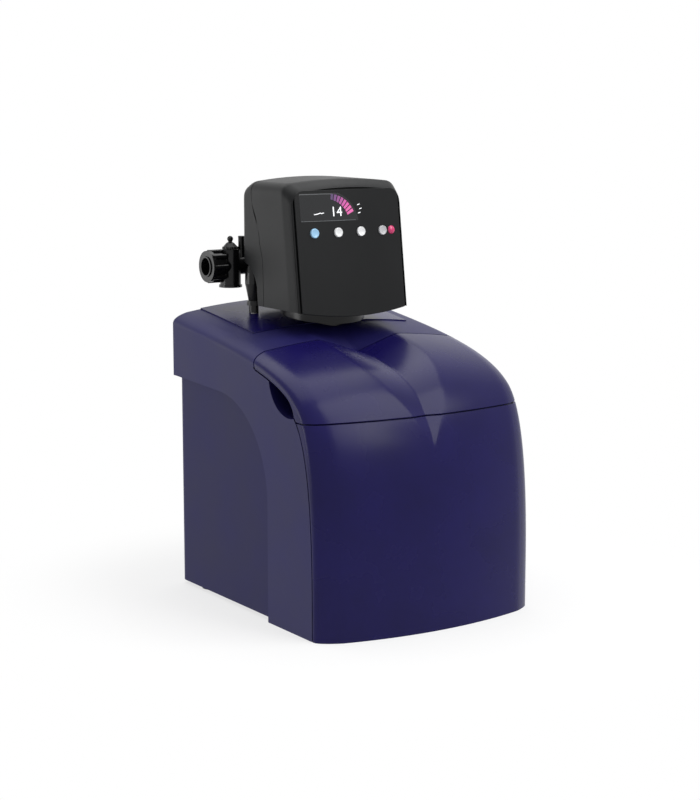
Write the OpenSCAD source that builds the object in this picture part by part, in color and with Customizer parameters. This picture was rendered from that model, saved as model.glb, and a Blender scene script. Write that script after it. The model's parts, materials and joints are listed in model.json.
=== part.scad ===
// Compact cabinet water softener: a salt cabinet with a lid, a resin vessel
// with a metered control valve under a black head, and a bypass behind it.
// The front faces -Y, +X is the right-hand side seen from the front, +Z is up.
// The origin is on the floor, below the middle of the cabinet.

/* [Cabinet] */
// Width over the hood and its legs
cab_w = 302; // [280:1:340]
// Depth from the front panel to the back of the hood
cab_d = 364; // [340:1:400]
// Thickness of the blue shells
wall = 3; // [2.4:0.1:4]
// Height at which the front starts to curve back
front_rise = 40; // [20:1:70]
// How far the brow lies behind the foot of the front
brow_setback = 55.5; // [45:0.5:70]
// Height of the brow, between front and top
brow_h = 280; // [270:1:295]
// Angle of the skin at the brow
brow_angle = 39.6; // [32:0.1:46]
// Height of the hood at its back edge
hood_h = 352; // [345:1:365]
// Height of the joint between lid and front panel
seam_h = 247; // [235:1:255]
// Bow radius of the front in plan
front_bow_r = 470; // [350:5:700]
// Crown radius of the top from side to side
crown_r = 900; // [700:5:2000]
// Gap between neighbouring blue shells
shell_gap = 1.5; // [0.8:0.1:2.5]

/* [Valley] */
// Height of the tip of the V on the front panel
tip_h = 212; // [190:1:230]
// Half width of the valley where it is widest
valley_half_w = 55; // [40:1:65]
// Length over which the valley widens
valley_run = 165; // [120:1:220]
// Greatest depth of the valley
valley_max = 20; // [8:0.5:22]

/* [Lid] */
// Distance from the vessel axis forward to the lid's back edge
lid_back = 80; // [74:1:90]
// Width of each tongue that hooks under the hood
tongue_w = 22; // [12:1:30]
// Radius of the finger scoops
scoop_r = 45; // [36:1:50]
// Depth of the finger scoops into the side
scoop_deep = 22; // [14:1:28]

/* [Tub] */
// Thickness of the tub's walls
tub_wall = 3.5; // [2.5:0.1:5]
// Clearance of the tub's floor above the ground
tub_lift = 5; // [3:0.5:10]
// Height of the tub's front rim
rim_h = 240; // [225:1:243]
// Top of the arch in the hood's side
arch_h = 260; // [230:1:268]
// Width of the hood's legs at the floor
leg_w = 98; // [80:1:115]

/* [Resin vessel] */
// Outer radius of the resin vessel
vessel_r = 77; // [68:0.5:79]
// Height of the vessel's neck above the floor
neck_h = 306; // [300:0.5:308]
// Radius of the neck
neck_r = 34; // [31:0.5:36]
// Distance of the vessel axis from the back of the cabinet
vessel_back = 109; // [104:1:116]

/* [Control head] */
// Width of the head
head_w = 164; // [158:1:180]
// Height of the head's lower edge at its middle
head_low = 348; // [346:0.5:352]
// Height of the top of the head
head_top = 511; // [490:1:530]
// Depth of the head at its foot
head_d = 137; // [128:1:144]
// Backward lean of the front face
lean = 7.5; // [4:0.5:9]
// Wall of the head's shells
head_wall = 3; // [2:0.1:4]
// Radius of the push buttons
button_r = 5.8; // [4:0.1:6.5]
// Travel of the push buttons
button_travel = 1.2; // [0.6:0.1:1.6]
// Spacing of the push buttons
button_pitch = 32.3; // [26:0.1:33]
// Height of the row of buttons up the face
button_up = 101; // [92:0.5:106]

/* [Bypass] */
// Height of the ports above the floor
port_h = 400; // [396:0.5:404]
// Radius of the bypass pipes
pipe_r = 12; // [11:0.1:13]
// Radius of the upright valve barrels
barrel_r = 13; // [12.5:0.1:14]
// Bore radius of the tailpieces, for 22 mm pipe
tail_bore = 11.05; // [10.5:0.05:11.2]
// Outer radius of the union nuts
nut_r = 19.5; // [18:0.5:23]
// Radius of the drain and overflow spigots
spigot_r = 6.5; // [5:0.1:8]

/* [Hidden] */
$fn = 64;
fit_gap = 0.3;          // clearance between fixed neighbours
run_gap = 0.05;         // radial running clearance of shafts
slip = 0.01;            // overlap that makes cuts break through
half_w = cab_w/2;
front_y = -cab_d/2;
back_y = cab_d/2;
vessel_y = back_y - vessel_back;
lid_back_y = vessel_y - lid_back;
plate_step = 0.1;       // the side plates lie this far behind the crowned top's lip
tub_half_w = half_w - wall - plate_step - fit_gap;
tub_back_y = back_y - 6;
tub_front_y = front_y + 49;
tub_top = 272;
tub_step_y = lid_back_y - 24;
lift = hood_h - 352;    // the neck, the valve and the head ride with the hood
neck_z = neck_h + lift;
head_z = head_low + lift;
crest_z = head_top + lift;
port_z = port_h + lift;
floor_top = tub_lift + tub_wall;

// Colours
navy = [0.16, 0.14, 0.36];
navy_side = [0.24, 0.22, 0.38];
black = [0.09, 0.09, 0.10];
pale = [0.86, 0.87, 0.88];
amber = [0.75, 0.48, 0.16];
grey = [0.55, 0.57, 0.60];

// Small helpers
function mix(a, b, k) = a + (b - a)*k;
function unit(v) = v/norm(v);
function turned(v) = [for (i = [len(v) - 1 : -1 : 0]) v[i]];
function arc(c, rx, ry, a0, a1, n) =
    [for (i = [0 : n]) let (a = mix(a0, a1, i/n)) [c[0] + rx*cos(a), c[1] + ry*sin(a)]];
module rod_x(x0, x1, y, z, r) {
    translate([min(x0, x1), y, z]) rotate([0, 90, 0]) cylinder(r = r, h = abs(x1 - x0));
}
module rod_y(x, y0, y1, z, r) {
    translate([x, max(y0, y1), z]) rotate([90, 0, 0]) cylinder(r = r, h = abs(y1 - y0));
}
module rod_z(x, y, z0, z1, r) {
    translate([x, y, z0]) cylinder(r = r, h = z1 - z0);
}
// A (y, z) outline as a slab between two planes of x
module slab_x(x0, x1) {
    translate([x0, 0, 0]) rotate([90, 0, 90]) linear_extrude(x1 - x0) children();
}
// An (x, z) outline as a slab between two planes of y
module slab_y(y0, y1) {
    translate([0, y1, 0]) rotate([90, 0, 0]) linear_extrude(y1 - y0) children();
}
module block(lo, hi) {
    translate(lo) cube(hi - lo);
}
module both_sides() {
    children();
    mirror([1, 0, 0]) children();
}

// The blue skin: a curved centre profile from the floor over the brow to the
// back, and a bowed cross-section dropped inwards from it
front_pull = 142;
brow_lead = 49;
brow_trail = 61;
top_pull = 164;
top_slope = 6.8;
brow = [front_y + brow_setback, brow_h];
brow_dir = [cos(brow_angle), sin(brow_angle)];
front_ctrl = [
    [front_y, front_rise], [front_y, front_rise + front_pull], brow - brow_dir*brow_lead, brow
];
top_ctrl = [
    brow, brow + brow_dir*brow_trail,
    [back_y, hood_h] - top_pull*[1, tan(top_slope)], [back_y, hood_h]
];
function bez(p, t) =
    pow(1 - t, 3)*p[0] + 3*t*pow(1 - t, 2)*p[1] + 3*t*t*(1 - t)*p[2] + pow(t, 3)*p[3];
function bez_dir(p, t) =
    unit(pow(1 - t, 2)*(p[1] - p[0]) + 2*t*(1 - t)*(p[2] - p[1]) + t*t*(p[3] - p[2]));
// u runs from -1 at the floor, over 0 and 1, to 2 at the back
function prof(u) =
    u < 0 ? [front_y, front_rise*(1 + u)] : u < 1 ? bez(front_ctrl, u) : bez(top_ctrl, u - 1);
function prof_dir(u) = u < 0 ? [0, 1] : u < 1 ? bez_dir(front_ctrl, u) : bez_dir(top_ctrl, u - 1);
function prof_in(u) = let (d = prof_dir(u)) [d[1], -d[0]];
function topness(u) = -prof_in(u)[1];
// The u at which the profile reaches a given y (axis 0) or z (axis 1)
function reach(axis, value, lo = 0, hi = 2, n = 26) =
    let (m = (lo + hi)/2)
    n == 0 ? m : prof(m)[axis] < value ? reach(axis, value, m, hi, n - 1) : reach(axis, value, lo, m, n - 1);
function steps(u0, u1, n) = [for (i = [0 : n]) mix(u0, u1, i/n)];
function run_length(u0, u1, n = 12) =
    let (p = [for (u = steps(u0, u1, n)) prof(u)], d = [for (i = [1 : n]) norm(p[i] - p[i - 1])])
    d*[for (i = d) 1];

tip_u = reach(1, tip_h);
seam_u = reach(1, seam_h);
deck_front_y = vessel_y - 22;
deck_u = reach(0, deck_front_y);

valley_rate = 0.094;    // depth gained per length of run from the tip
valley_power = 1.8;
valley_least = 4;
function valley_s(u) = u <= tip_u ? 0 : run_length(tip_u, u);
function valley_w(u) =
    max(valley_least, valley_half_w*(1 - pow(max(0, 1 - valley_s(u)/valley_run), valley_power)));
// Behind the lid the valley runs out towards the deck
function runout(u) = min(1, max(0, (deck_front_y - prof(u)[0])/(deck_front_y - lid_back_y)));
function valley_d(u) = min(valley_max, valley_rate*valley_s(u))*runout(u);

// Corner of the cross-section: on the front, on the top
corner_in = [27, 20];
corner_drop = [22, 13];
corner_slope = [0.45, 0.25];
// Lip below the corner: on the front, at the brow, on the top
lip_front = 1;
lip_brow = 9.5;
lip_top = 2.5;
flat_top = 0.9;         // from this lean on the lip is the top's
function at(pair, u) = mix(pair[0], pair[1], topness(u));
function corner_lip(u) =
    let (t = topness(u), tb = cos(brow_angle))
    t < tb ? mix(lip_front, lip_brow, t/tb)
    : mix(lip_top, lip_brow, pow(max(0, (flat_top - t)/(flat_top - tb)), 1.5));
function bow(u) = mix(1/front_bow_r, 1/crown_r, topness(u))/2;
function corner_x(u, depth) = half_w - depth - at(corner_in, u);
function corner_end(u) = bow(u)*pow(corner_x(u, 0), 2) + at(corner_drop, u);
function edge_drop(u) = corner_end(u) + corner_lip(u);
function corner_pt(u, depth, t) =
    let (x = corner_x(u, depth), d = bow(u)*x*x, hw = half_w - depth, end = corner_end(u) - depth,
         mid = min(end, d + (hw - x)*at(corner_slope, u)))
    pow(1 - t, 2)*[x, d] + 2*t*(1 - t)*[hw, mid] + t*t*[hw, end];
// Column k of half the cross-section, as x and drop: valley, bowed top, round corner, lip
cross_n = 11;
function cross_pt(u, depth, k) =
    k < 3 ? let (x = valley_w(u)*k/2) [x, bow(u)*x*x + valley_d(u)*(1 - k/2)]
    : k < 6 ? let (x = mix(valley_w(u), corner_x(u, depth), (k - 2)/3)) [x, bow(u)*x*x]
    : k < cross_n ? corner_pt(u, depth, (k - 5)/5)
    : [half_w - depth, edge_drop(u) - depth];
function skin_pt(u, depth, c) = let (p = prof(u) + prof_in(u)*(depth + c[1])) [c[0], p[0], p[1]];
function skin_col(u, depth, j) =
    let (c = cross_pt(u, depth, abs(j))) skin_pt(u, depth, [j < 0 ? -c[0] : c[0], c[1]]);
// Rows of points between two edges, each edge given as one u per column
function rows(from, to, n, depth, first = 0) =
    [for (i = [first : n]) [for (j = [-cross_n : cross_n])
        let (k = abs(j)) skin_col(mix(from[k], to[k], i/n), depth, j)]];
function all_cols(u) = [for (k = [0 : cross_n]) u];
// A strip of the skin between two values of x, with no valley
function strip_rows(us, depth, x0, x1, n) =
    [for (u = us) [for (i = [0 : n]) let (x = mix(x0, x1, i/n)) skin_pt(u, depth, [x, bow(u)*x*x])]];
// The u at which column k reaches a height (axis 2) or a y (axis 1); a back edge leans forward down the sides
edge_lean = 0.7;
function lean_by(u, k) = k > 5 ? edge_lean*(cross_pt(u, 0, k)[1] - bow(u)*pow(corner_x(u, 0), 2)) : 0;
function col_reach(k, axis, value, lo = 0.3, hi = 1.9, n = 15) =
    let (m = (lo + hi)/2, p = skin_pt(m, 0, cross_pt(m, 0, k))[axis] + (axis == 1 ? lean_by(m, k) : 0))
    n == 0 ? m : p < value ? col_reach(k, axis, value, m, hi, n - 1) : col_reach(k, axis, value, lo, m, n - 1);
function level_edge(z) = [for (k = [0 : cross_n]) col_reach(k, 2, z)];
function back_edge(y) = [for (k = [0 : cross_n]) col_reach(k, 1, y)];
panel_edge = level_edge(seam_h - shell_gap/2);
lid_front_edge = level_edge(seam_h + shell_gap/2);
lid_back_edge = back_edge(lid_back_y - shell_gap/2);
hood_edge = back_edge(lid_back_y + shell_gap/2);

// A closed shell between two grids of points
module shell(outer, inner) {
    n = len(outer) - 1;
    m = len(outer[0]) - 1;
    pts = concat([for (r = outer) each r], [for (r = inner) each r]);
    function a(i, j) = i*(m + 1) + j;
    function b(i, j) = (n + 1)*(m + 1) + a(i, j);
    function quad(p, q, r, s) = [[p, q, r], [p, r, s]];
    polyhedron(pts, concat(
        [for (i = [0 : n - 1], j = [0 : m - 1]) each quad(a(i, j), a(i + 1, j), a(i + 1, j + 1), a(i, j + 1))],
        [for (i = [0 : n - 1], j = [0 : m - 1]) each quad(b(i, j), b(i, j + 1), b(i + 1, j + 1), b(i + 1, j))],
        [for (j = [0 : m - 1]) each quad(a(0, j), a(0, j + 1), b(0, j + 1), b(0, j))],
        [for (j = [0 : m - 1]) each quad(a(n, j + 1), a(n, j), b(n, j), b(n, j + 1))],
        [for (i = [0 : n - 1]) each quad(a(i + 1, 0), a(i, 0), b(i, 0), b(i + 1, 0))],
        [for (i = [0 : n - 1]) each quad(a(i, m), a(i + 1, m), b(i + 1, m), b(i, m))]
    ));
}
module skin(from, to, n, depth0, depth1) {
    shell(rows(from, to, n, depth0), rows(from, to, n, depth1));
}
module strip(us, depth0, depth1, x0, x1, n) {
    shell(strip_rows(us, depth0, x0, x1, n), strip_rows(us, depth1, x0, x1, n));
}

// Tub: the salt bay in front, the vessel behind, a hose channel at the back
tub_nose_half = 110;
tub_shoulder = 25;
tub_corner = 12;
channel_x = 112;
channel_w = 40;
channel_d = 22;
well_x = -104;
well_y = -12;
overflow_z = 205;
module tub_plan(inset) {
    hw = tub_half_w - inset;
    difference() {
        polygon(concat(
            [[-tub_nose_half + inset/2, tub_front_y + inset], [tub_nose_half - inset/2, tub_front_y + inset],
             [hw, tub_front_y + tub_shoulder + inset]],
            arc([hw - tub_corner, tub_back_y - inset - tub_corner], tub_corner, tub_corner, 0, 90, 4),
            arc([-hw + tub_corner, tub_back_y - inset - tub_corner], tub_corner, tub_corner, 90, 180, 4),
            [[-hw, tub_front_y + tub_shoulder + inset]]
        ));
        translate([channel_x - channel_w/2 - inset, tub_back_y - channel_d - inset])
            square([channel_w + 2*inset, channel_d + 2*inset + 1]);
    }
}
module brine_tank() color(navy_side) difference() {
    translate([0, 0, tub_lift]) linear_extrude(tub_top - tub_lift) tub_plan(0);
    translate([0, 0, floor_top]) linear_extrude(tub_top) tub_plan(tub_wall);
    block([-half_w, front_y, rim_h], [half_w, tub_step_y, tub_top + 1]);
    rod_y(channel_x, tub_back_y - channel_d - tub_wall - 1, tub_back_y, overflow_z, spigot_r + 1.5 + fit_gap);
}
foot_r = 15;
module feet() color([0.07, 0.07, 0.08])
    for (x = [-1, 1], y = [tub_front_y + 42, tub_back_y - 46])
        rod_z(x*(tub_half_w - 22), y, 0, tub_lift, foot_r);

// Hood: crowned top, two side legs with the arch between leg and tub, a back wall
arch_ry = 115;
arch_rz = 118;
skirt_z = arch_h + 6;
deck_half_w = 112;
deck_rise = 1.5;
deck_flange = 7;
flange_gap = 0.8;
deck_skirt_z = hood_h - 29;
function edge_pt(u, extra) = prof(u) + prof_in(u)*(edge_drop(u) + extra);
leg_back_y = front_y + edge_drop(-1) + leg_w;
side_lid_u = lid_back_edge[cross_n];
side_hood_u = hood_edge[cross_n];
side_outline = concat(
    [edge_pt(-1, shell_gap)],
    [for (u = steps(0, side_lid_u, 18)) edge_pt(u, shell_gap)],
    [for (u = steps(side_hood_u + 0.013, 1.99, 5)) edge_pt(u, -0.5*corner_lip(u))],
    [[back_y + 10, skirt_z], [back_y - 8, skirt_z]],
    [for (p = arc([leg_back_y + arch_ry, arch_h - arch_rz], arch_ry, arch_rz, 90, 180, 10)) p],
    [[leg_back_y, 0]]
);
scoop_c = [front_y + 88, seam_h + 47.5];
module scoop_outline(r) {
    intersection() {
        translate(scoop_c) circle(r);
        polygon(side_outline);
    }
}
module hood_side() {
    scoop_wall = 2.5;
    x1 = half_w - plate_step;
    x0 = half_w - wall - plate_step;
    slab_x(x0, x1) difference() {
        polygon(side_outline);
        translate(scoop_c) circle(scoop_r);
    }
    slab_x(x0 - scoop_deep, x0 + slip) difference() {
        scoop_outline(scoop_r + scoop_wall);
        translate(scoop_c) circle(scoop_r);
    }
    slab_x(x0 - scoop_deep - scoop_wall, x0 - scoop_deep + slip) scoop_outline(scoop_r + scoop_wall);
}
back_cross = [for (j = [-cross_n : cross_n]) let (c = cross_pt(2, plate_step, abs(j))) [sign(j)*c[0], c[1]]];
function hood_rows(depth) =
    concat(rows(hood_edge, all_cols(deck_u), 4, depth), rows(all_cols(deck_u), all_cols(2), 5, depth, 1));
module hood() color(navy_side) difference() {
    union() {
        shell(hood_rows(0), hood_rows(wall));
        both_sides() hood_side();
        slab_y(back_y - wall, back_y + 1) polygon(concat(
            [for (c = back_cross) [c[0], hood_h - c[1] - 0.4*wall]],
            [[half_w - plate_step, skirt_z + plate_step], [-half_w + plate_step, skirt_z + plate_step]]
        ));
    }
    block([-deck_half_w - fit_gap, deck_front_y - fit_gap, tub_top + 10],
        [deck_half_w + fit_gap, back_y - wall - slip, hood_h + 20]);
    block([-deck_half_w - fit_gap, vessel_y, deck_skirt_z - fit_gap],
        [deck_half_w + fit_gap, back_y + 20, hood_h + 20]);
    rod_z(0, vessel_y, tub_top + 10, hood_h + 20, hole_r);
    block([-half_w - 1, back_y, 0], [half_w + 1, back_y + 30, hood_h]);
}
elbow_x = -69;
elbow_y = vessel_y + 50;
elbow_neck_r = 6;
deck_us = steps(deck_u, 2, 6);
flange_us = steps(deck_u + 0.01, reach(0, back_y - wall - 3), 4);
module deck_panel() color(navy) difference() {
    union() {
        strip(deck_us, -deck_rise, wall + 1.2, -deck_half_w, deck_half_w, 10);
        strip(flange_us, wall + flange_gap, wall + flange_gap + 2.2,
            -deck_half_w - deck_flange, deck_half_w + deck_flange, 9);
        block([-deck_half_w, back_y - wall, deck_skirt_z], [deck_half_w, back_y, hood_h - 8]);
    }
    rod_z(0, vessel_y, tub_top + 10, hood_h + 20, hole_r);
    rod_z(elbow_x, elbow_y, tub_top + 10, hood_h + 20, elbow_neck_r + fit_gap);
    block([-half_w, back_y, 0], [half_w, back_y + 30, hood_h + 20]);
}

// Front panel: bowed skin, a lip under the lid, ribs that stand against the tub
lip_low = level_edge(seam_h - 9);
lip_high = level_edge(seam_h + 6);
function panel_rows(depth) = concat(
    [[for (j = [-cross_n : cross_n]) skin_col(-1, depth, j)]], rows(all_cols(0), panel_edge, 11, depth)
);
rib_x = 74;
rib_w = 3;
module front_panel() color(navy) {
    difference() {
        shell(panel_rows(0), panel_rows(wall));
        block([-half_w + 50, front_y - 1, -1], [half_w - 50, front_y + 60, 2]);
    }
    skin(level_edge(seam_h - 8), level_edge(seam_h - 2.5), 2, wall - 1, wall + fit_gap + 1);
    skin(lip_low, lip_high, 3, wall + fit_gap, wall + fit_gap + 2);
    both_sides() slab_x(rib_x - rib_w/2, rib_x + rib_w/2) polygon(concat(
        [for (u = concat([-0.5], steps(0, seam_u - 0.25, 5)))
            prof(u) + prof_in(u)*(wall/2 + bow(u)*rib_x*rib_x)],
        [[tub_front_y, prof(seam_u - 0.25)[1] - 6], [tub_front_y, front_rise/2]]
    ));
}
// Lid: skin with the valley, two tongues that hook under the hood
tongue_x = 96;
hinge_y = lid_back_y;
hinge_z = prof(reach(0, lid_back_y))[1];
tongue_in_u = reach(0, lid_back_y - 12);
tongue_end_u = reach(0, lid_back_y + 13);
module lid() color(navy) {
    skin(lid_front_edge, lid_back_edge, 14, 0, wall);
    both_sides() {
        strip([tongue_in_u, lid_back_edge[5]], wall - 1, wall + 2.6,
            tongue_x - tongue_w/2, tongue_x + tongue_w/2, 2);
        strip(steps(tongue_in_u + 0.01, tongue_end_u, 3), wall + fit_gap, wall + 2.4,
            tongue_x - tongue_w/2, tongue_x + tongue_w/2, 2);
    }
}

// Resin vessel and what stands in it
vessel_wall = 3.5;
boot_wall = 2.7;
vessel_z = floor_top + vessel_wall;
dome_z = 232;
neck_foot = neck_z - 18;
neck_bore = neck_r - 8;
riser_r = 13;
strainer_r = 24;
module at_vessel() translate([0, vessel_y, 0]) children();
module resin_vessel() color(grey) at_vessel() rotate_extrude() polygon(concat(
    [[riser_r + 20, vessel_z], [vessel_r - 14, vessel_z]],
    arc([vessel_r - 14, vessel_z + 14], 14, 14, -90, 0, 4),
    arc([neck_r, dome_z], vessel_r - neck_r, neck_foot - dome_z, 0, 78, 7),
    [[neck_r, neck_foot], [neck_r, neck_z], [neck_bore, neck_z], [neck_bore, neck_foot - vessel_wall]],
    turned(arc([neck_bore, dome_z], vessel_r - vessel_wall - neck_bore,
        neck_foot - dome_z - 2*vessel_wall, 0, 70, 7)),
    turned(arc([vessel_r - 14, vessel_z + 14], 14 - vessel_wall, 14 - vessel_wall, -90, 0, 4)),
    [[0, vessel_z + vessel_wall], [0, vessel_z]]
));
module vessel_boot() color(black) at_vessel() rotate_extrude() polygon([
    [0, floor_top], [vessel_r + boot_wall + fit_gap, floor_top],
    [vessel_r + boot_wall + fit_gap, floor_top + 34],
    [vessel_r + fit_gap, floor_top + 34], [vessel_r + fit_gap, vessel_z], [0, vessel_z]
]);
bed_low = vessel_z + vessel_wall;
strainer_h = 30;
bed_top = 195;
bed_r = vessel_r - vessel_wall - 4;
module resin_bed() color(amber) at_vessel() rotate_extrude() polygon([
    [strainer_r + fit_gap, bed_low], [bed_r - 12, bed_low], [bed_r, bed_low + 13], [bed_r, bed_top],
    [riser_r + fit_gap, bed_top], [riser_r + fit_gap, bed_low + strainer_h + fit_gap],
    [strainer_r + fit_gap, bed_low + strainer_h + fit_gap]
]);
module riser_tube() color(pale) at_vessel() difference() {
    rod_z(0, 0, bed_low + strainer_h - 4, neck_z + 20, riser_r);
    rod_z(0, 0, bed_low + strainer_h - 5, neck_z + 21, riser_r - 2);
}
module strainer(z0, z1, slots) {
    difference() {
        rod_z(0, 0, z0, z1, strainer_r);
        rod_z(0, 0, z0 - 1, z1 + 1, riser_r + run_gap);
        for (i = [1 : slots]) translate([0, 0, mix(z0, z1, i/(slots + 1))]) difference() {
            cylinder(r = strainer_r + 1, h = 1.2, center = true);
            cylinder(r = strainer_r - 4, h = 2, center = true);
        }
    }
}
module lower_strainer() color(black) at_vessel() {
    strainer(bed_low, bed_low + strainer_h, 6);
}
module upper_strainer() color(black) at_vessel() {
    strainer(neck_z - 34, neck_z - 16, 4);
}

// Brine well: the float on its rod, the safety valve below, the draw tube beside them
well_r = 32;
well_wall = 2.5;
well_top = rim_h - 6;
cap_t = 5;
cap_top = well_top + cap_t;
rod_r = 3;
rod_x_off = 9;
draw_x_off = -17;
float_z = 150;
float_h = 44;
float_r = 15;
float_travel = 38;
tube_r = 4.5;
tube_bore = 3.1;
tube_bend = 14;
tower_r = 7;
valve_deck = floor_top + 20;
valve_top = floor_top + 62;
socket_top = floor_top + 44;
well_free_r = well_r - well_wall - fit_gap;
module at_well() translate([well_x, well_y, 0]) children();
module brine_well() color(pale) at_well() difference() {
    rod_z(0, 0, floor_top, well_top, well_r);
    rod_z(0, 0, floor_top - 1, well_top + 1, well_r - well_wall);
    for (a = [0 : 45 : 315]) rotate([0, 0, a]) rod_x(well_r - 6, well_r + 2, 0, valve_deck + 12, 2.5);
}
module well_cap() color(black) at_well() difference() {
    union() {
        rod_z(0, 0, well_top, cap_top, well_r + 3);
        rod_z(0, 0, well_top - 8, well_top + 1, well_free_r);
        rod_z(draw_x_off, 0, cap_top - 1, cap_top + 5, tower_r + 2);
    }
    rod_z(0, 0, well_top - 9, cap_top - 2, well_free_r - 2.5);
    rod_z(draw_x_off, 0, well_top - 9, cap_top + 6, tube_r + run_gap);
}
module brine_valve() color(black) at_well() difference() {
    union() {
        rod_z(0, 0, floor_top, valve_deck, well_free_r);
        rod_z(rod_x_off, 0, valve_deck - 1, valve_top, tower_r);
        rod_z(draw_x_off, 0, valve_deck - 1, socket_top, tower_r);
    }
    rod_z(rod_x_off, 0, floor_top + 8, valve_top + 1, rod_r + run_gap);
    rod_z(draw_x_off, 0, valve_deck, socket_top + 1, tube_r + run_gap);
    rod_x(rod_x_off, draw_x_off, 0, floor_top + 12, 2.5);
    rod_z(draw_x_off, 0, floor_top + 12, valve_deck + 1, tube_bore);
}
module float_rod() color(pale) at_well() {
    rod_z(rod_x_off, 0, floor_top + 16, float_z + float_h + float_travel + 2, rod_r);
    rod_z(rod_x_off, 0, float_z - 3, float_z, rod_r + 2.5);
}
module float() color([0.92, 0.92, 0.88]) at_well() translate([rod_x_off, 0, float_z]) rotate_extrude()
    polygon(concat(
        [[rod_r + run_gap, 0]], arc([float_r - 6, 6], 6, 6, -90, 0, 4),
        arc([float_r - 6, float_h - 6], 6, 6, 0, 90, 4), [[rod_r + run_gap, float_h]]
    ));
// A hollow tube along straight legs, with a round bend at each corner
module tube_run(points, r, bore, bend_r) {
    n = len(points) - 1;
    function dir(i) = unit(points[i + 1] - points[i]);
    for (i = [0 : n - 1]) {
        p = points[i] + dir(i)*(i > 0 ? bend_r : 0);
        q = points[i + 1] - dir(i)*(i < n - 1 ? bend_r : 0);
        v = q - p;
        translate(p) rotate([0, acos(v[2]/norm(v)), atan2(v[1], v[0])]) difference() {
            cylinder(r = r, h = norm(v));
            translate([0, 0, -1]) cylinder(r = bore, h = norm(v) + 2);
        }
    }
    for (i = [1 : n - 1]) {
        e1 = -dir(i);
        e2 = dir(i - 1);
        c = points[i] - (e1 + e2)*bend_r;
        e3 = cross(e1, e2);
        multmatrix([for (k = [0 : 2]) [e1[k], e2[k], e3[k], c[k]]])
            rotate_extrude(angle = 90) translate([bend_r, 0]) difference() {
                circle(r);
                circle(bore);
            }
    }
}
elbow_foot = hood_h - 8;
ring_z = elbow_foot + 9;
tube_z = tub_top + tube_r + 2;
tube_route = [
    [elbow_x, elbow_y, elbow_foot], [elbow_x, elbow_y, tube_z], [well_x + draw_x_off, elbow_y, tube_z],
    [well_x + draw_x_off, well_y, tube_z], [well_x + draw_x_off, well_y, valve_deck]
];
module brine_tube() color(pale)
    tube_run(tube_route, tube_r, tube_bore, tube_bend);
// Overflow through the tub's wall in the hose channel
channel_y = tub_back_y - channel_d;
lock_h = 7;
module overflow_spigot() color(black) difference() {
    union() {
        rod_y(channel_x, channel_y - tub_wall - 6, channel_y + channel_d - 1, overflow_z, spigot_r);
        rod_y(channel_x, channel_y - tub_wall - 3, channel_y - tub_wall, overflow_z, spigot_r + 6);
        rod_y(channel_x, channel_y - tub_wall - 3, channel_y + lock_h, overflow_z, spigot_r + 1.5);
    }
    rod_y(channel_x, channel_y - tub_wall - 7, channel_y + channel_d, overflow_z, spigot_r - 1.8);
}
module overflow_nut() color(black) difference() {
    translate([channel_x, channel_y + lock_h, overflow_z]) rotate([90, 0, 0])
        cylinder(r = spigot_r + 7, h = lock_h, $fn = 6);
    rod_y(channel_x, channel_y - 1, channel_y + lock_h + 1, overflow_z, spigot_r + 1.5 + run_gap);
}

// Control valve: screwed into the neck, a cross barrel with the piston, ports at the back
flange_r = 38;
trunk_r = 30;
hole_r = trunk_r + 2;
shoulder_z = head_z + 8;
collar_r = 52;
collar_gap = 3.5;        // between the deck and the collar
collar_tilt = 7.8;
cross_r = 24;
cross_half = 60;
cross_bore = 16;
port_x = 40;
port_bore = 8;
port_end_y = vessel_y + 60;
piston_r = 9;
piston_travel = 12;
arm_y = elbow_y;
arm_z = port_z - 8;
arm_end = 58;
screw_ring = 34;
journal_r = 9;
spindle_r = 1.2;
turbine_y = port_end_y - 10;
module valve_body() color(black) {
    valve_casting();
    // Spider that carries the flow turbine in the outlet
    rod_y(port_x, turbine_y - 8, turbine_y + 3.5, port_z, spindle_r);
    block([port_x - port_bore - 0.5, turbine_y - 8, port_z - spindle_r],
        [port_x + port_bore + 0.5, turbine_y - 6, port_z + spindle_r]);
}
// Round collar under the head, its underside level with the sloping deck
module collar() intersection() {
    rod_z(0, vessel_y, neck_z + 14, shoulder_z, collar_r);
    translate([0, vessel_y, prof(reach(0, vessel_y))[1] + deck_rise + collar_gap]) rotate([collar_tilt, 0, 0])
        translate([-collar_r - 5, -2*collar_r, 0]) cube([2*collar_r + 10, 4*collar_r, 2*collar_r]);
}
module valve_casting() difference() {
    union() {
        rod_z(0, vessel_y, neck_z - 16, neck_z + 2, neck_bore - run_gap);
        rod_z(0, vessel_y, neck_z, neck_z + 12, flange_r);
        rod_z(0, vessel_y, neck_z + 10, port_z, trunk_r);
        collar();
        rod_x(-cross_half, cross_half, vessel_y, port_z, cross_r);
        for (x = [-1, 1]) {
            rod_y(x*port_x, vessel_y, port_end_y, port_z, pipe_r);
            rod_x(x*port_x, x*arm_end, arm_y, arm_z, 7);
        }
        rod_z(0, vessel_y, port_z, port_z + cross_r + 4, 15);
        rod_x(cross_half - 1, gear_x + gear_w - 2, vessel_y, port_z, journal_r);
    }
    rod_x(-cross_half - 1, cross_half - 6, vessel_y, port_z, cross_bore);
    rod_x(0, gear_x + gear_w, vessel_y, port_z, piston_r/2 + run_gap);
    for (x = [-1, 1]) {
        rod_y(x*port_x, vessel_y, port_end_y + 1, port_z, port_bore);
        rod_x(x*port_x, x*(arm_end + 1), arm_y, arm_z, 3.5);
    }
    rod_z(0, vessel_y, neck_z - 17, neck_z + 20, riser_r + run_gap);
    rod_z(0, vessel_y, neck_z + 19, port_z, riser_r - 2);
    rod_z(0, vessel_y, port_z + cross_r - 4, port_z + cross_r + 5, 9);
    for (a = [45 : 90 : 315]) translate([0, vessel_y, 0]) rotate([0, 0, a])
        rod_z(screw_ring, 0, shoulder_z - 7, shoulder_z + 1, 1.55);
}
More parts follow.
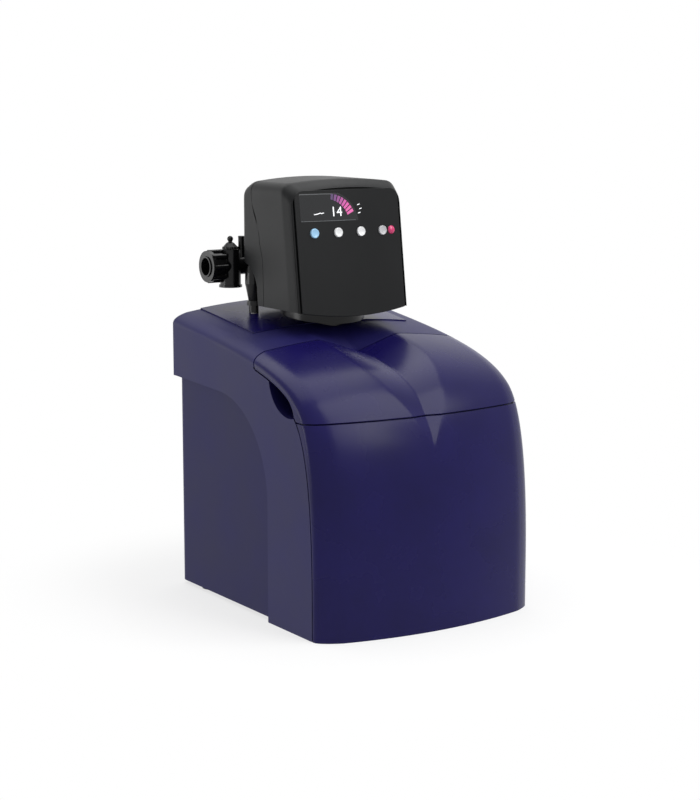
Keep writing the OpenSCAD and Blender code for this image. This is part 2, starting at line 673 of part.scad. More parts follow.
piston_x0 = -cross_half + 10;
module piston() color(pale) difference() {
    union() {
        rod_x(piston_x0, piston_x0 + 62, vessel_y, port_z, piston_r);
        rod_x(piston_x0 + 60, cross_half + 3, vessel_y, port_z, piston_r/2);
    }
    for (x = [16, 38]) difference() {
        rod_x(piston_x0 + x, piston_x0 + x + 8, vessel_y, port_z, piston_r + 1);
        rod_x(piston_x0 + x - 1, piston_x0 + x + 9, vessel_y, port_z, piston_r - 3);
    }
}
module seal_stack() color(grey) for (i = [0 : 4]) difference() {
    x = -cross_half + 16 + i*18;
    rod_x(x, x + 10, vessel_y, port_z, cross_bore - run_gap);
    rod_x(x - 1, x + 11, vessel_y, port_z, piston_r + run_gap);
}
module barrel_plug() color(black) {
    rod_x(-cross_half - 5, -cross_half, vessel_y, port_z, cross_r - 2);
    rod_x(-cross_half - slip, -cross_half + 6, vessel_y, port_z, cross_bore - run_gap);
}
// Spur gears on the end of the barrel
gear_module = 1.5;
gear_teeth = 44;
pinion_teeth = 22;
gear_x = cross_half + 0.6;
gear_w = 8;
gear_reach = gear_module*(gear_teeth + pinion_teeth)/2;
mesh_angle = 90;
pinion_y = vessel_y - gear_reach*cos(mesh_angle);
pinion_z = port_z + gear_reach*sin(mesh_angle);
function tooth(n, a) = let (r = gear_module*n/2, p = 360/n) [
    for (k = [[-0.30, -1.2], [-0.13, 0.85], [0.13, 0.85], [0.30, -1.2]])
        (r + k[1]*gear_module)*[cos(a + k[0]*p), sin(a + k[0]*p)]
];
module gear_outline(n, phase) {
    polygon([for (i = [0 : n - 1]) each tooth(n, phase + i*360/n)]);
}
// The gears mesh on the line between their axes: a tooth of one faces a gap of the other
module drive_gear() color(pale) difference() {
    union() {
        slab_x(gear_x, gear_x + gear_w) translate([vessel_y, port_z])
            gear_outline(gear_teeth, 180 - mesh_angle);
        rod_x(gear_x + gear_w - slip, gear_x + gear_w + 3, vessel_y, port_z, 14);
    }
    rod_x(gear_x - 1, gear_x + gear_w - 2 + fit_gap, vessel_y, port_z, journal_r + run_gap);
    rod_x(gear_x - 1, gear_x + gear_w + 4, vessel_y, port_z, piston_r/2 + run_gap);
}
module motor_pinion() color(pale) difference() {
    slab_x(gear_x, gear_x + gear_w) translate([pinion_y, pinion_z])
        gear_outline(pinion_teeth, -mesh_angle + 180/pinion_teeth);
    rod_x(gear_x - 1, gear_x + gear_w + 1, pinion_y, pinion_z, 3 + run_gap);
}
motor_r = 18;
module drive_motor() color(grey) {
    difference() {
        union() {
            rod_x(18, gear_x - 3, pinion_y, pinion_z, motor_r);
            block([30, pinion_y - 9, port_z + cross_r - 4], [gear_x - 5, pinion_y + 9, pinion_z]);
        }
        rod_x(0, gear_x, vessel_y, port_z, cross_r + run_gap);
    }
    rod_x(gear_x - 4, gear_x - 0.6, pinion_y, pinion_z, 8);
    rod_x(gear_x - 1, gear_x + gear_w + 1, pinion_y, pinion_z, 3);
}
module injector_cap() color(grey) {
    rod_z(0, vessel_y, port_z + cross_r + 4, port_z + cross_r + 12, 15);
    rod_z(0, vessel_y, port_z + cross_r - 3, port_z + cross_r + 4 + slip, 9 - run_gap);
}
module flow_turbine() color(pale) translate([port_x, turbine_y, port_z]) difference() {
    union() {
        rotate([90, 0, 0]) cylinder(r = 2.6, h = 9, center = true);
        for (a = [0 : 60 : 300]) rotate([0, a, 0]) translate([4.6, 0, 0]) cube([5.2, 7, 1], center = true);
    }
    rotate([90, 0, 0]) cylinder(r = spindle_r + run_gap, h = 10, center = true);
}
// Brine fitting on the left: an egg-shaped elbow with a ring, down into the deck
egg_r = 10.5;
module brine_elbow() color(black) difference() {
    union() {
        translate([elbow_x, elbow_y, 0]) rotate_extrude() polygon(concat(
            [[0, arm_z + 13.8], [1.2, arm_z + 13.8]], turned(arc([0, arm_z - 2], egg_r, 16, 0, 80, 6)),
            [[egg_r, arm_z - 12], [elbow_neck_r + 0.5, ring_z + 6], [elbow_neck_r + 2.5, ring_z + 6],
             [elbow_neck_r + 2.5, ring_z], [elbow_neck_r, ring_z], [elbow_neck_r, elbow_foot], [0, elbow_foot]]
        ));
        rod_x(elbow_x, -arm_end, arm_y, arm_z, 6);
        rod_x(-arm_end - 3, -arm_end, arm_y, arm_z, 8);
    }
    rod_z(elbow_x, elbow_y, elbow_foot - 1, arm_z, 3.1);
    rod_x(elbow_x, -arm_end + 1, arm_y, arm_z, 3.1);
}
drain_x = arm_end + 34;
module drain_spigot() color(black) difference() {
    union() {
        rod_x(arm_end, arm_end + 10, arm_y, arm_z, spigot_r + 1.5);
        rod_x(arm_end, drain_x, arm_y, arm_z, spigot_r);
    }
    rod_x(arm_end - 1, drain_x + 1, arm_y, arm_z, 3.5);
}

// Control head: a leaning, bowed front, a rounded top and a cut-out at the back
head_half = head_w/2;
head_y = vessel_y - 78.5;
head_back_y = head_y + head_d;
head_bow = 6;
head_sag = 8;
head_crown = 5;
head_round = 20;
head_back_round = 15;
bow_r = (head_half*head_half + head_bow*head_bow)/2/head_bow;
function face_in(x) = bow_r - sqrt(bow_r*bow_r - x*x);
// Coordinates of the leaning face: y goes into the head, z goes up the face
module on_face() translate([0, head_y, head_z]) rotate([-lean, 0, 0]) children();
module head_plan(inset) {
    hw = head_half - inset;
    n = 12;
    polygon(concat(
        [for (i = [-n : n]) let (x = (hw - 7)*i/n) [x, face_in(x) + inset]],
        [[hw - 2, face_in(hw) + 2 + inset], [hw, face_in(hw) + 7 + inset], [hw, 2*head_d], [-hw, 2*head_d],
         [-hw, face_in(hw) + 7 + inset], [-hw + 2, face_in(hw) + 2 + inset]]
    ));
}
module head_front_view(inset) {
    hw = head_half - inset;
    r = head_round - inset;
    top = crest_z - inset;
    low_r = (head_half*head_half + head_sag*head_sag)/2/head_sag;
    n = 8;
    polygon(concat(
        [for (i = [-n : n]) let (x = hw*i/n) [x, head_z + low_r - sqrt(low_r*low_r - x*x)]],
        arc([hw - r, top - head_crown - r], r, r, 0, 80, 6),
        [[hw/3, top], [-hw/3, top]],
        arc([-hw + r, top - head_crown - r], r, r, 100, 180, 6)
    ));
}
module head_side_view(inset) {
    r = head_back_round - inset;
    y = head_back_y - inset;
    top = crest_z - inset;
    polygon(concat(
        [[head_y - 20, head_z - 1], [y, head_z - 1], [y, top - 6 - r]],
        arc([y - r, top - 6 - r], r, r, 10, 80, 5),
        [[y - 60, top], [head_y - 20, top]]
    ));
}
module head_solid(inset) {
    intersection() {
        on_face() translate([0, 0, -20]) linear_extrude(crest_z) head_plan(inset);
        translate([0, head_y + (crest_z - head_z)*tan(lean) + 5, crest_z - 3]) rotate([-62, 0, 0])
            translate([0, 0, -crest_z/2]) linear_extrude(crest_z) head_plan(inset);
        slab_y(head_y - 40, head_back_y + 40) head_front_view(inset);
        slab_x(-head_half, head_half) head_side_view(inset);
    }
}
module head_shell() {
    difference() {
        head_solid(0);
        head_solid(head_wall);
        block([-head_half + head_wall, head_y + 8, head_z - 20],
            [head_half - head_wall, head_back_y - head_wall, head_z + head_sag]);
    }
}
// Line on the side between cover and housing
split_line = [
    [head_y + 82, head_z - 5], [head_y + 84, head_z + 60], [head_y + 92, head_z + 90],
    [head_y + 110, head_z + 135], [head_y + 114, crest_z + 5]
];
module behind_split(gap) {
    slab_x(-head_w, head_w) polygon(concat(
        [for (p = split_line) p + [gap, 0]], [[head_back_y + 50, crest_z + 5], [head_back_y + 50, head_z - 5]]
    ));
}
// Arched cut-out at the back corners, where the fittings come out
notch_r = 40;
notch_x = 55;
module back_notches() {
    both_sides() slab_x(notch_x, head_half + 5) union() {
        translate([head_back_y, shoulder_z + 12]) circle(notch_r);
        translate([head_back_y - notch_r, shoulder_z - 40]) square([notch_r + 5, 52]);
    }
}
fascia_t = 8;
fascia_up = 152;
fascia_half = head_half - 9;
groove = 3;
groove_deep = 2;
module fascia_block(gap) {
    on_face() block([-fascia_half - gap, -5, -30], [fascia_half + gap, fascia_t + gap, fascia_up + gap]);
}
button_xs = [for (i = [0 : 3]) (i - 1.5)*button_pitch - 2.5];
lens_x = button_xs[3] + 14;
window_x0 = -68;
window_x1 = 11;
window_z0 = 113;
window_z1 = 148;
window_t = 1.6;
// Outline of the display on the face: straight on the left, a quarter round on the right
module window_outline(grow) {
    r = window_z1 - window_z0;
    polygon(concat(
        [[window_x0 - grow, window_z1 + grow], [window_x0 - grow, window_z0 - grow]],
        arc([window_x1 - r + 8, window_z0], r - 8 + grow, r + grow, 0, 90, 10)
    ));
}
module face_cut(y0, y1) {
    on_face() translate([0, y1, 0]) rotate([90, 0, 0]) linear_extrude(y1 - y0) children();
}
module fascia() color(black) {
    difference() {
        intersection() {
            head_solid(0);
            fascia_block(0);
        }
        intersection() {
            head_solid(head_wall);
            fascia_block(1);
        }
        fascia_windows();
    }
    board_posts();
}
module fascia_windows() {
    difference() {
        face_cut(-5, 30) window_outline(fit_gap);
        head_solid(window_t + 0.4);
    }
    face_cut(-5, 30) offset(delta = -4) window_outline(0);
    for (x = button_xs) on_face() rod_y(x, -5, 30, button_up, button_r + fit_gap);
    on_face() rod_y(lens_x, -5, 30, button_up, button_r - 0.6 + run_gap);
}
module head_cover() color(black) difference() {
    head_shell();
    fascia_block(fit_gap);
    on_face() block([-fascia_half - groove, -6, -31],
        [fascia_half + groove, face_in(fascia_half) + groove_deep, fascia_up + fit_gap]);
    behind_split(-fit_gap);
    back_notches();
    fascia_windows();
}
module head_housing() color(black) difference() {
    intersection() {
        head_shell();
        behind_split(0);
    }
    back_notches();
    both_sides() {
        rod_y(port_x, head_back_y - 10, head_back_y + 10, port_z, pipe_r + 5);
        block([port_x, head_back_y - 10, arm_z - 9], [notch_x + 1, head_back_y + 10, arm_z + 9]);
    }
    rod_y(socket_x, head_back_y - 10, head_back_y + 10, socket_z, socket_r + run_gap);
}
module display_window() color([0.05, 0.05, 0.07]) difference() {
    intersection() {
        head_solid(0.2);
        face_cut(-5, 30) window_outline(0);
    }
    head_solid(0.2 + window_t);
}
// Board behind the face, with the screen, the switches and their buttons
board_y = 24;
board_t = 1.6;
board_half = 70;
board_z0 = 40;
board_z1 = 140;
switch_h = 4;
screen_t = 4;
post_xs = [-64, 64];
post_zs = [board_z0 + 6, board_z1 - 50];
module board_posts() {
    on_face() for (x = post_xs, z = post_zs) rod_y(x, head_wall - 1 + face_in(x), board_y, z, 3.5);
}
module circuit_board() color([0.07, 0.32, 0.16]) on_face() {
    difference() {
        block([-board_half, board_y, board_z0], [board_half, board_y + board_t, board_z1 + 4]);
        for (x = post_xs, z = post_zs) rod_y(x, board_y - 1, board_y + 3, z, 1.5);
    }
    for (x = button_xs)
        block([x - 3, board_y - switch_h, button_up - 3], [x + 3, board_y + slip, button_up + 3]);
}
module display_module() color([0.12, 0.12, 0.14]) on_face()
    block([window_x0 + 6, board_y - screen_t, window_z0 + 1], [window_x1 - 4, board_y, window_z1 - 8]);
module button(i) {
    x = button_xs[i];
    front = face_in(x) - 1;
    on_face() {
        rod_y(x, front, board_y - switch_h - button_travel - 0.4, button_up, button_r - 1.5);
        rod_y(x, front, front + head_wall + 4, button_up, button_r);
        rod_y(x, front + head_wall + 3.6, front + head_wall + 5, button_up, button_r + 1.4);
    }
}
module button_1() color([0.62, 0.78, 0.92]) button(0);
module button_2() color(pale) button(1);
module button_3() color(pale) button(2);
module button_4() color([0.68, 0.68, 0.70]) button(3);
module status_lens() color([0.80, 0.16, 0.34]) on_face()
    rod_y(lens_x, face_in(lens_x) - 0.6, face_in(lens_x) + head_wall + 3, button_up, button_r - 0.6);
socket_x = 0;
socket_z = head_z + 100;
socket_r = 7;
module power_socket() color(black) difference() {
    union() {
        rod_y(socket_x, head_back_y - head_wall - 14, head_back_y + 2, socket_z, socket_r);
        rod_y(socket_x, head_back_y, head_back_y + 2, socket_z, socket_r + 2);
    }
    rod_y(socket_x, head_back_y - 10, head_back_y + 3, socket_z, 3);
}
// Chassis: the floor of the head, screwed to the valve's shoulder
chassis_t = 3;
chassis_half = head_half - head_wall - fit_gap;
module chassis() color([0.13, 0.13, 0.14]) difference() {
    union() {
        block([-chassis_half, head_y + 22, shoulder_z], [chassis_half, head_y + 80, shoulder_z + chassis_t]);
        block([-50, head_y + 79, shoulder_z], [50, head_back_y - head_wall - fit_gap, shoulder_z + chassis_t]);
    }
    rod_z(0, vessel_y, shoulder_z - 1, shoulder_z + chassis_t + 1, trunk_r + fit_gap);
    for (a = [45 : 90 : 315]) translate([0, vessel_y, 0]) rotate([0, 0, a])
        rod_z(screw_ring, 0, shoulder_z - 1, shoulder_z + chassis_t + 1, 1.7);
}
module chassis_screws() color(grey) for (a = [45 : 90 : 315])
    translate([0, vessel_y, 0]) rotate([0, 0, a]) {
        rod_z(screw_ring, 0, shoulder_z - 6, shoulder_z + chassis_t + slip, 1.5);
        rod_z(screw_ring, 0, shoulder_z + chassis_t, shoulder_z + chassis_t + 2, 3);
    }

// Bypass: two stubs from the valve, a cross pipe, two barrels with rotors, unions at the ends
bypass_y = vessel_y + 88;
barrel_x = 80;
stub_r = pipe_r - 0.5;
barrel_low = port_z - 24;
barrel_top = port_z + 20;
rotor_r = 9.5;
stem_r = 3;
stem_h = 6;
union_x = barrel_x + 21;
union_r = 15;
washer_t = 2;
tail_flange = 3;
tail_seat = 1.5;
nut_x0 = barrel_x + barrel_r + 0.8;
nut_x1 = union_x + 13;
blend_x = -barrel_x + 16;
blend_r = 4;
blend_head = blend_r + 1;
blend_seat = barrel_top - 0.2;
module bypass_body() color(black) difference() {
    union() {
        rod_x(-union_x, union_x, bypass_y, port_z, pipe_r);
        for (x = [-1, 1]) {
            rod_x(x*nut_x0, x*union_x, bypass_y, port_z, union_r);
            rod_z(x*barrel_x, bypass_y, barrel_low, barrel_top, barrel_r);
            rod_y(x*port_x, port_end_y, bypass_y, port_z, stub_r);
        }
        rod_z(blend_x, bypass_y, port_z, blend_seat, blend_r + 3);
    }
    rod_x(-union_x - 1, union_x + 1, bypass_y, port_z, port_bore);
    for (x = [-1, 1]) {
        rod_z(x*barrel_x, bypass_y, barrel_low - 1, barrel_top + 1, rotor_r + run_gap);
        rod_y(x*port_x, port_end_y - 1, bypass_y, port_z, port_bore - 1);
    }
    rod_z(blend_x, bypass_y, port_z + 4, blend_seat + 1, blend_r + run_gap);
}
module bypass_rotor(side) translate([side*barrel_x, bypass_y, 0]) difference() {
    union() {
        rod_z(0, 0, barrel_low + 2, barrel_top, rotor_r);
        rod_z(0, 0, barrel_top - 1, barrel_top + stem_h, stem_r);
    }
    rod_x(-12, 12, 0, port_z, 7);
}
module bypass_rotor_left() color(grey) bypass_rotor(-1);
module bypass_rotor_right() color(grey) bypass_rotor(1);
// Knob: a ribbed cone with a ball on top
module bypass_knob(side) translate([side*barrel_x, bypass_y, barrel_top + fit_gap]) difference() {
    union() {
        rotate_extrude() polygon(concat(
            [[0, 0], [9, 0], [9, 3], [5, 7.5], [2.6, 9]], arc([0, 12.7], 3.8, 3.8, -47, 90, 7), [[0, 16.5]]
        ));
        for (a = [0 : 30 : 330]) rotate([0, 0, a]) rod_z(9, 0, 0, 3, 1);
    }
    rod_z(0, 0, -1, stem_h, stem_r + run_gap);
}
module bypass_knob_left() color(black) bypass_knob(-1);
module bypass_knob_right() color(black) bypass_knob(1);
module bypass_caps() color(black) for (x = [-1, 1]) {
    rod_z(x*barrel_x, bypass_y, barrel_low - 3, barrel_low, barrel_r + 1.5);
    rod_z(x*barrel_x, bypass_y, barrel_low - slip, barrel_low + 2 - fit_gap, rotor_r);
}
module blend_screw() color(black) difference() {
    union() {
        rod_z(blend_x, bypass_y, port_z + 4 + fit_gap, port_z + 36, blend_r);
        rod_z(blend_x, bypass_y, barrel_top + fit_gap, barrel_top + 3, blend_head);
    }
    block([blend_x - 6, bypass_y - 0.6, port_z + 33], [blend_x + 6, bypass_y + 0.6, port_z + 37]);
}
module port_couplings() color(black) for (x = [-1, 1]) difference() {
    rod_y(x*port_x, port_end_y - 2.4, port_end_y + 6, port_z, pipe_r + 3.5);
    rod_y(x*port_x, port_end_y - 5, port_end_y + 8, port_z, pipe_r + run_gap);
}
lobes = 8;
lobe_r = 3.2;
module union_nuts() color(black) both_sides() difference() {
    union() {
        rod_x(nut_x0, nut_x1, bypass_y, port_z, nut_r - lobe_r + 0.6);
        rod_x(nut_x1 - 5, nut_x1, bypass_y, port_z, nut_r);
        for (i = [0 : lobes - 1]) translate([0, bypass_y, port_z]) rotate([i*360/lobes, 0, 0])
            rod_x(nut_x0, nut_x1 - 2, 0, nut_r - lobe_r + 1.2, lobe_r);
    }
    rod_x(nut_x0 - 1, union_x + washer_t + tail_flange, bypass_y, port_z, union_r + run_gap);
    rod_x(union_x, nut_x1 + 1, bypass_y, port_z, tail_bore + 1.6 + fit_gap);
}
module tailpieces() color(black) both_sides() difference() {
    union() {
        rod_x(union_x + washer_t, union_x + washer_t + tail_flange, bypass_y, port_z, union_r - fit_gap);
        rod_x(union_x + washer_t, nut_x1 + 1.5, bypass_y, port_z, tail_bore + 1.6);
    }
    rod_x(union_x + washer_t + tail_seat, nut_x1 + 3, bypass_y, port_z, tail_bore);
    rod_x(union_x, nut_x1, bypass_y, port_z, port_bore);
}
module union_washers() color([0.1, 0.1, 0.1]) both_sides() difference() {
    rod_x(union_x, union_x + washer_t, bypass_y, port_z, union_r - fit_gap);
    rod_x(union_x - 1, union_x + washer_t + 1, bypass_y, port_z, port_bore);
}

brine_tank();
feet();
hood();
deck_panel();
front_panel();
lid();
resin_vessel();
vessel_boot();
resin_bed();
riser_tube();
lower_strainer();
upper_strainer();
brine_well();
well_cap();
float();
float_rod();
brine_valve();
brine_tube();
brine_elbow();
overflow_spigot();
overflow_nut();
valve_body();
piston();
seal_stack();
barrel_plug();
drive_gear();
drive_motor();
motor_pinion();
injector_cap();
flow_turbine();
drain_spigot();
chassis();
chassis_screws();
fascia();
head_cover();
head_housing();
display_window();
display_module();
circuit_board();
button_1();
button_2();
button_3();
button_4();
status_lens();
power_socket();
bypass_body();
bypass_rotor_left();
bypass_rotor_right();
bypass_knob_left();
bypass_knob_right();
bypass_caps();
blend_screw();
port_couplings();
union_nuts();
tailpieces();
union_washers();
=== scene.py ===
import bpy, bmesh, json, math
from mathutils import Vector, Matrix

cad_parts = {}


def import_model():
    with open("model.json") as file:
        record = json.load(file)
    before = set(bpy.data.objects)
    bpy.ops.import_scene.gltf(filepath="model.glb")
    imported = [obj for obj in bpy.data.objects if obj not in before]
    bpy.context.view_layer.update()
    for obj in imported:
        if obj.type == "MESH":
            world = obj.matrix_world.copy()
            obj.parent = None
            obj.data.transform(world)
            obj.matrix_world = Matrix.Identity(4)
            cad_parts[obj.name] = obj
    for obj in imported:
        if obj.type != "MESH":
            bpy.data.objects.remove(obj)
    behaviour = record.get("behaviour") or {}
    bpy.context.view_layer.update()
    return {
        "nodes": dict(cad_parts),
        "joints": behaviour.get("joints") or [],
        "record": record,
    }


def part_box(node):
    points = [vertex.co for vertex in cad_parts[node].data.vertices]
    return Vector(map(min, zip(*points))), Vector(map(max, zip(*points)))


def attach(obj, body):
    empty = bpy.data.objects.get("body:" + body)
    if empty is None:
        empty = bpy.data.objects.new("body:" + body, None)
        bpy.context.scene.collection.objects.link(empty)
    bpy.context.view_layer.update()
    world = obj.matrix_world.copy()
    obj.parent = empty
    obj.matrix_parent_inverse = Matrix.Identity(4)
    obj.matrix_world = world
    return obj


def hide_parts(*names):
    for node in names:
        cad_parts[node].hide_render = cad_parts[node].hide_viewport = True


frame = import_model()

nodes = frame["nodes"]
scene = bpy.context.scene
rad = math.radians


def mix(a, b, k):
    return a + (b - a) * k


def addPiece(bm, name, body, material, replaced=()):
    mesh = bpy.data.meshes.new(name)
    bm.to_mesh(mesh)
    bm.free()
    for face in mesh.polygons:
        face.use_smooth = True
    mesh.set_sharp_from_angle(angle=rad(32))
    piece = bpy.data.objects.new(name, mesh)
    bpy.context.collection.objects.link(piece)
    mesh.materials.append(material)
    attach(piece, body)
    if replaced:
        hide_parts(*replaced)
    return piece


def thicken(piece, wall, edge, segments=3):  # a wall behind the skin, and round edges on it
    solid = piece.modifiers.new("wall", "SOLIDIFY")
    solid.thickness = wall
    solid.offset = -1.0
    roundOff = piece.modifiers.new("edge", "BEVEL")
    roundOff.width = edge
    roundOff.segments = segments
    roundOff.limit_method = "ANGLE"
    roundOff.angle_limit = rad(42)
    roundOff.harden_normals = True


def faceOut(bm, middle):  # turns an open skin so that its faces look away from a point
    bmesh.ops.recalc_face_normals(bm, faces=bm.faces[:])
    bm.normal_update()
    total = sum(f.normal.dot(f.calc_center_median() - Vector(middle)) * f.calc_area() for f in bm.faces)
    if total < 0:
        bmesh.ops.reverse_faces(bm, faces=bm.faces[:])


# camera, at the photograph's place
camSet = {"place": (-1.2602, -1.9128, 0.6234), "az": 33.23, "el": 9.39, "focal": 1912.0, "pixels": 800.0}
camData = bpy.data.cameras.new("photoCamera")
camera = bpy.data.objects.new("photoCamera", camData)
bpy.context.collection.objects.link(camera)
camData.sensor_fit = "VERTICAL"
camData.sensor_height = 36.0
camData.lens = camSet["focal"] / camSet["pixels"] * 36.0
camData.clip_end = 50.0
camera.location = camSet["place"]
camera.rotation_euler = (rad(90 - camSet["el"]), 0.0, rad(-camSet["az"]))
scene.camera = camera
print("camera set")

# materials: each slot of the record gets a node tree on Object coordinates; the brine tank instead gets a darker copy
# of navy_satin, which is painted shade
finishSet = {
    "navy_gloss": {"tint": (0.0074, 0.0052, 0.066), "vary": 0.12, "rough": 0.27, "spread": 0.06,
        "grain": 900, "bump": 0.02, "shine": 0.16},
    "navy_satin": {"tint": (0.0090, 0.0076, 0.066), "vary": 0.12, "rough": 0.47, "spread": 0.07,
        "grain": 1500, "bump": 0.10, "shine": 0.20},
    # darker copy of navy_satin for the brine tank, which sits back under the hood's arch: its darker tint is painted
    # shade
    "navy_tub": {"tint": (0.0074, 0.0062, 0.054), "vary": 0.14, "rough": 0.52, "spread": 0.06,
        "grain": 1300, "bump": 0.12, "shine": 0.17},
    "black_satin": {"tint": (0.0052, 0.0056, 0.0062), "vary": 0.15, "rough": 0.44, "spread": 0.06,
        "grain": 2200, "bump": 0.10, "shine": 0.17},
    "black_gloss": {"tint": (0.006, 0.006, 0.0065), "vary": 0.10, "rough": 0.22, "spread": 0.08,
        "grain": 700, "bump": 0.03, "shine": 0.25},
    "smoked_glass": {"tint": (0.004, 0.005, 0.007), "vary": 0.05, "rough": 0.08, "spread": 0.03,
        "grain": 300, "bump": 0.0},
    "white_plastic": {"tint": (0.93, 0.94, 0.95), "vary": 0.04, "rough": 0.30, "spread": 0.06,
        "grain": 900, "bump": 0.03},
    "blue_plastic": {"tint": (0.36, 0.64, 0.90), "vary": 0.05, "rough": 0.30, "spread": 0.06,
        "grain": 900, "bump": 0.03},
    "silver_plastic": {"tint": (0.55, 0.55, 0.57), "vary": 0.06, "rough": 0.32, "spread": 0.06,
        "grain": 900, "bump": 0.03},
    "red_plastic": {"tint": (0.66, 0.03, 0.16), "vary": 0.08, "rough": 0.16, "spread": 0.05,
        "grain": 500, "bump": 0.02},
    "grey_plastic": {"tint": (0.22, 0.23, 0.25), "vary": 0.08, "rough": 0.45, "spread": 0.07,
        "grain": 1200, "bump": 0.06},
    "natural_plastic": {"tint": (0.66, 0.66, 0.61), "vary": 0.07, "rough": 0.42, "spread": 0.08,
        "grain": 900, "bump": 0.05},
    "fibreglass": {"tint": (0.20, 0.24, 0.28), "vary": 0.25, "rough": 0.40, "spread": 0.10,
        "grain": 260, "bump": 0.20},
    "resin": {"tint": (0.45, 0.19, 0.03), "vary": 0.35, "rough": 0.38, "spread": 0.10,
        "grain": 1400, "bump": 0.40},
    "rubber": {"tint": (0.010, 0.010, 0.010), "vary": 0.15, "rough": 0.72, "spread": 0.08,
        "grain": 1800, "bump": 0.12},
    "board": {"tint": (0.012, 0.090, 0.030), "vary": 0.20, "rough": 0.38, "spread": 0.08,
        "grain": 600, "bump": 0.05},
    "steel": {"tint": (0.55, 0.56, 0.57), "vary": 0.10, "rough": 0.30, "spread": 0.12,
        "grain": 700, "bump": 0.05, "metal": 1.0},
}


plasticSet = {"cloud": 14.0, "cloudDetail": 4.0, "grainDetail": 2.0, "leastRough": 0.03, "relief": 0.0004, "glow": 0.6}


def plastic(name, tint, vary, rough, spread, grain, bump, metal=0.0, shine=0.5, glow=None):
    mat = bpy.data.materials.new(name)
    mat.use_nodes = True
    tree = mat.node_tree
    shader = tree.nodes["Principled BSDF"]
    place = tree.nodes.new("ShaderNodeTexCoord")
    cloud = tree.nodes.new("ShaderNodeTexNoise")  # slow drift of tint and polish
    cloud.inputs["Scale"].default_value = plasticSet["cloud"]
    cloud.inputs["Detail"].default_value = plasticSet["cloudDetail"]
    grains = tree.nodes.new("ShaderNodeTexNoise")  # moulded grain
    grains.inputs["Scale"].default_value = grain
    grains.inputs["Detail"].default_value = plasticSet["grainDetail"]
    tree.links.new(place.outputs["Object"], cloud.inputs["Vector"])
    tree.links.new(place.outputs["Object"], grains.inputs["Vector"])
    ramp = tree.nodes.new("ShaderNodeValToRGB")
    ramp.color_ramp.elements[0].position = 0.3
    ramp.color_ramp.elements[1].position = 0.7
    ramp.color_ramp.elements[0].color = tuple(c * (1 - vary) for c in tint) + (1,)
    ramp.color_ramp.elements[1].color = tuple(min(1.0, c * (1 + vary)) for c in tint) + (1,)
    tree.links.new(cloud.outputs["Fac"], ramp.inputs["Fac"])
    tree.links.new(ramp.outputs["Color"], shader.inputs["Base Color"])
    polish = tree.nodes.new("ShaderNodeMapRange")
    polish.inputs["To Min"].default_value = max(plasticSet["leastRough"], rough - spread)
    polish.inputs["To Max"].default_value = rough + spread
    tree.links.new(cloud.outputs["Fac"], polish.inputs["Value"])
    tree.links.new(polish.outputs["Result"], shader.inputs["Roughness"])
    if bump > 0:
        relief = tree.nodes.new("ShaderNodeBump")
        relief.inputs["Strength"].default_value = bump
        relief.inputs["Distance"].default_value = plasticSet["relief"]
        tree.links.new(grains.outputs["Fac"], relief.inputs["Height"])
        tree.links.new(relief.outputs["Normal"], shader.inputs["Normal"])
    shader.inputs["Metallic"].default_value = metal
    shader.inputs["Specular IOR Level"].default_value = shine
    if glow:
        shader.inputs["Emission Color"].default_value = tuple(glow) + (1,)
        shader.inputs["Emission Strength"].default_value = plasticSet["glow"]
    return mat


finish = {name: plastic(name, **values) for name, values in finishSet.items()}
for sub in frame["record"]["subparts"]:
    for holder in nodes[sub["node"]].material_slots:
        # the brine tank's slot is navy_satin, but it takes the darker copy with painted shade
        holder.material = finish["navy_tub" if sub["node"] == "brine_tank" else sub["material_slot"]]
print("materials made")

# the blue skin: profile over the front, the brow and the top, and the cross-section hung from it
skinSet = {
    "frontRise": 0.040, "frontPull": 0.142, "browBack": 0.0555, "browUp": 0.280, "browAngle": 39.6,
    "browLead": 0.049, "browTrail": 0.061, "topPull": 0.164, "topSlope": 6.8, "hoodUp": 0.352,
    "seamUp": 0.247, "tipUp": 0.212, "valleyHalf": 0.055, "valleyRun": 0.165, "valleyRate": 0.094,
    "valleyMax": 0.020, "valleyPower": 1.8, "valleyLeast": 0.004, "frontBow": 0.470, "crown": 0.900,
    "cornerIn": (0.027, 0.020), "cornerDrop": (0.022, 0.013), "cornerSlope": (0.45, 0.25),
    "lipFront": 0.001, "lipBrow": 0.0095, "lipTop": 0.0025, "flatTop": 0.9, "edgeLean": 0.7,
    "gap": 0.0015, "wall": 0.003, "deckLead": 0.022, "deckHalf": 0.112, "deckRise": 0.0015,
    "valleyShare": 0.28, "topShare": 0.62, "cornerShare": 0.92, "foldSoft": 0.00006, "brimSoft": 0.00012,
}
sk = skinSet
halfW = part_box("hood")[1][0]
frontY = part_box("front_panel")[0][1]
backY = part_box("hood")[1][1]
vesselY = (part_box("resin_vessel")[0][1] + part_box("resin_vessel")[1][1]) / 2
lidBackY = next(j for j in frame["joints"] if j["name"] == "lid_hinge")["pos_m"][1]
deckFrontY = vesselY - sk["deckLead"]
brow = Vector((frontY + sk["browBack"], sk["browUp"]))
browDir = Vector((math.cos(rad(sk["browAngle"])), math.sin(rad(sk["browAngle"]))))
topEnd = Vector((backY, sk["hoodUp"]))
frontCtrl = [Vector((frontY, sk["frontRise"])), Vector((frontY, sk["frontRise"] + sk["frontPull"])),
             brow - browDir * sk["browLead"], brow]
topCtrl = [brow, brow + browDir * sk["browTrail"],
           topEnd - sk["topPull"] * Vector((1, math.tan(rad(sk["topSlope"])))), topEnd]


def bez(p, t):
    return p[0] * (1 - t) ** 3 + p[1] * 3 * t * (1 - t) ** 2 + p[2] * 3 * t * t * (1 - t) + p[3] * t ** 3


def bezDir(p, t):
    return ((p[1] - p[0]) * (1 - t) ** 2 + (p[2] - p[1]) * 2 * t * (1 - t) + (p[3] - p[2]) * t * t).normalized()


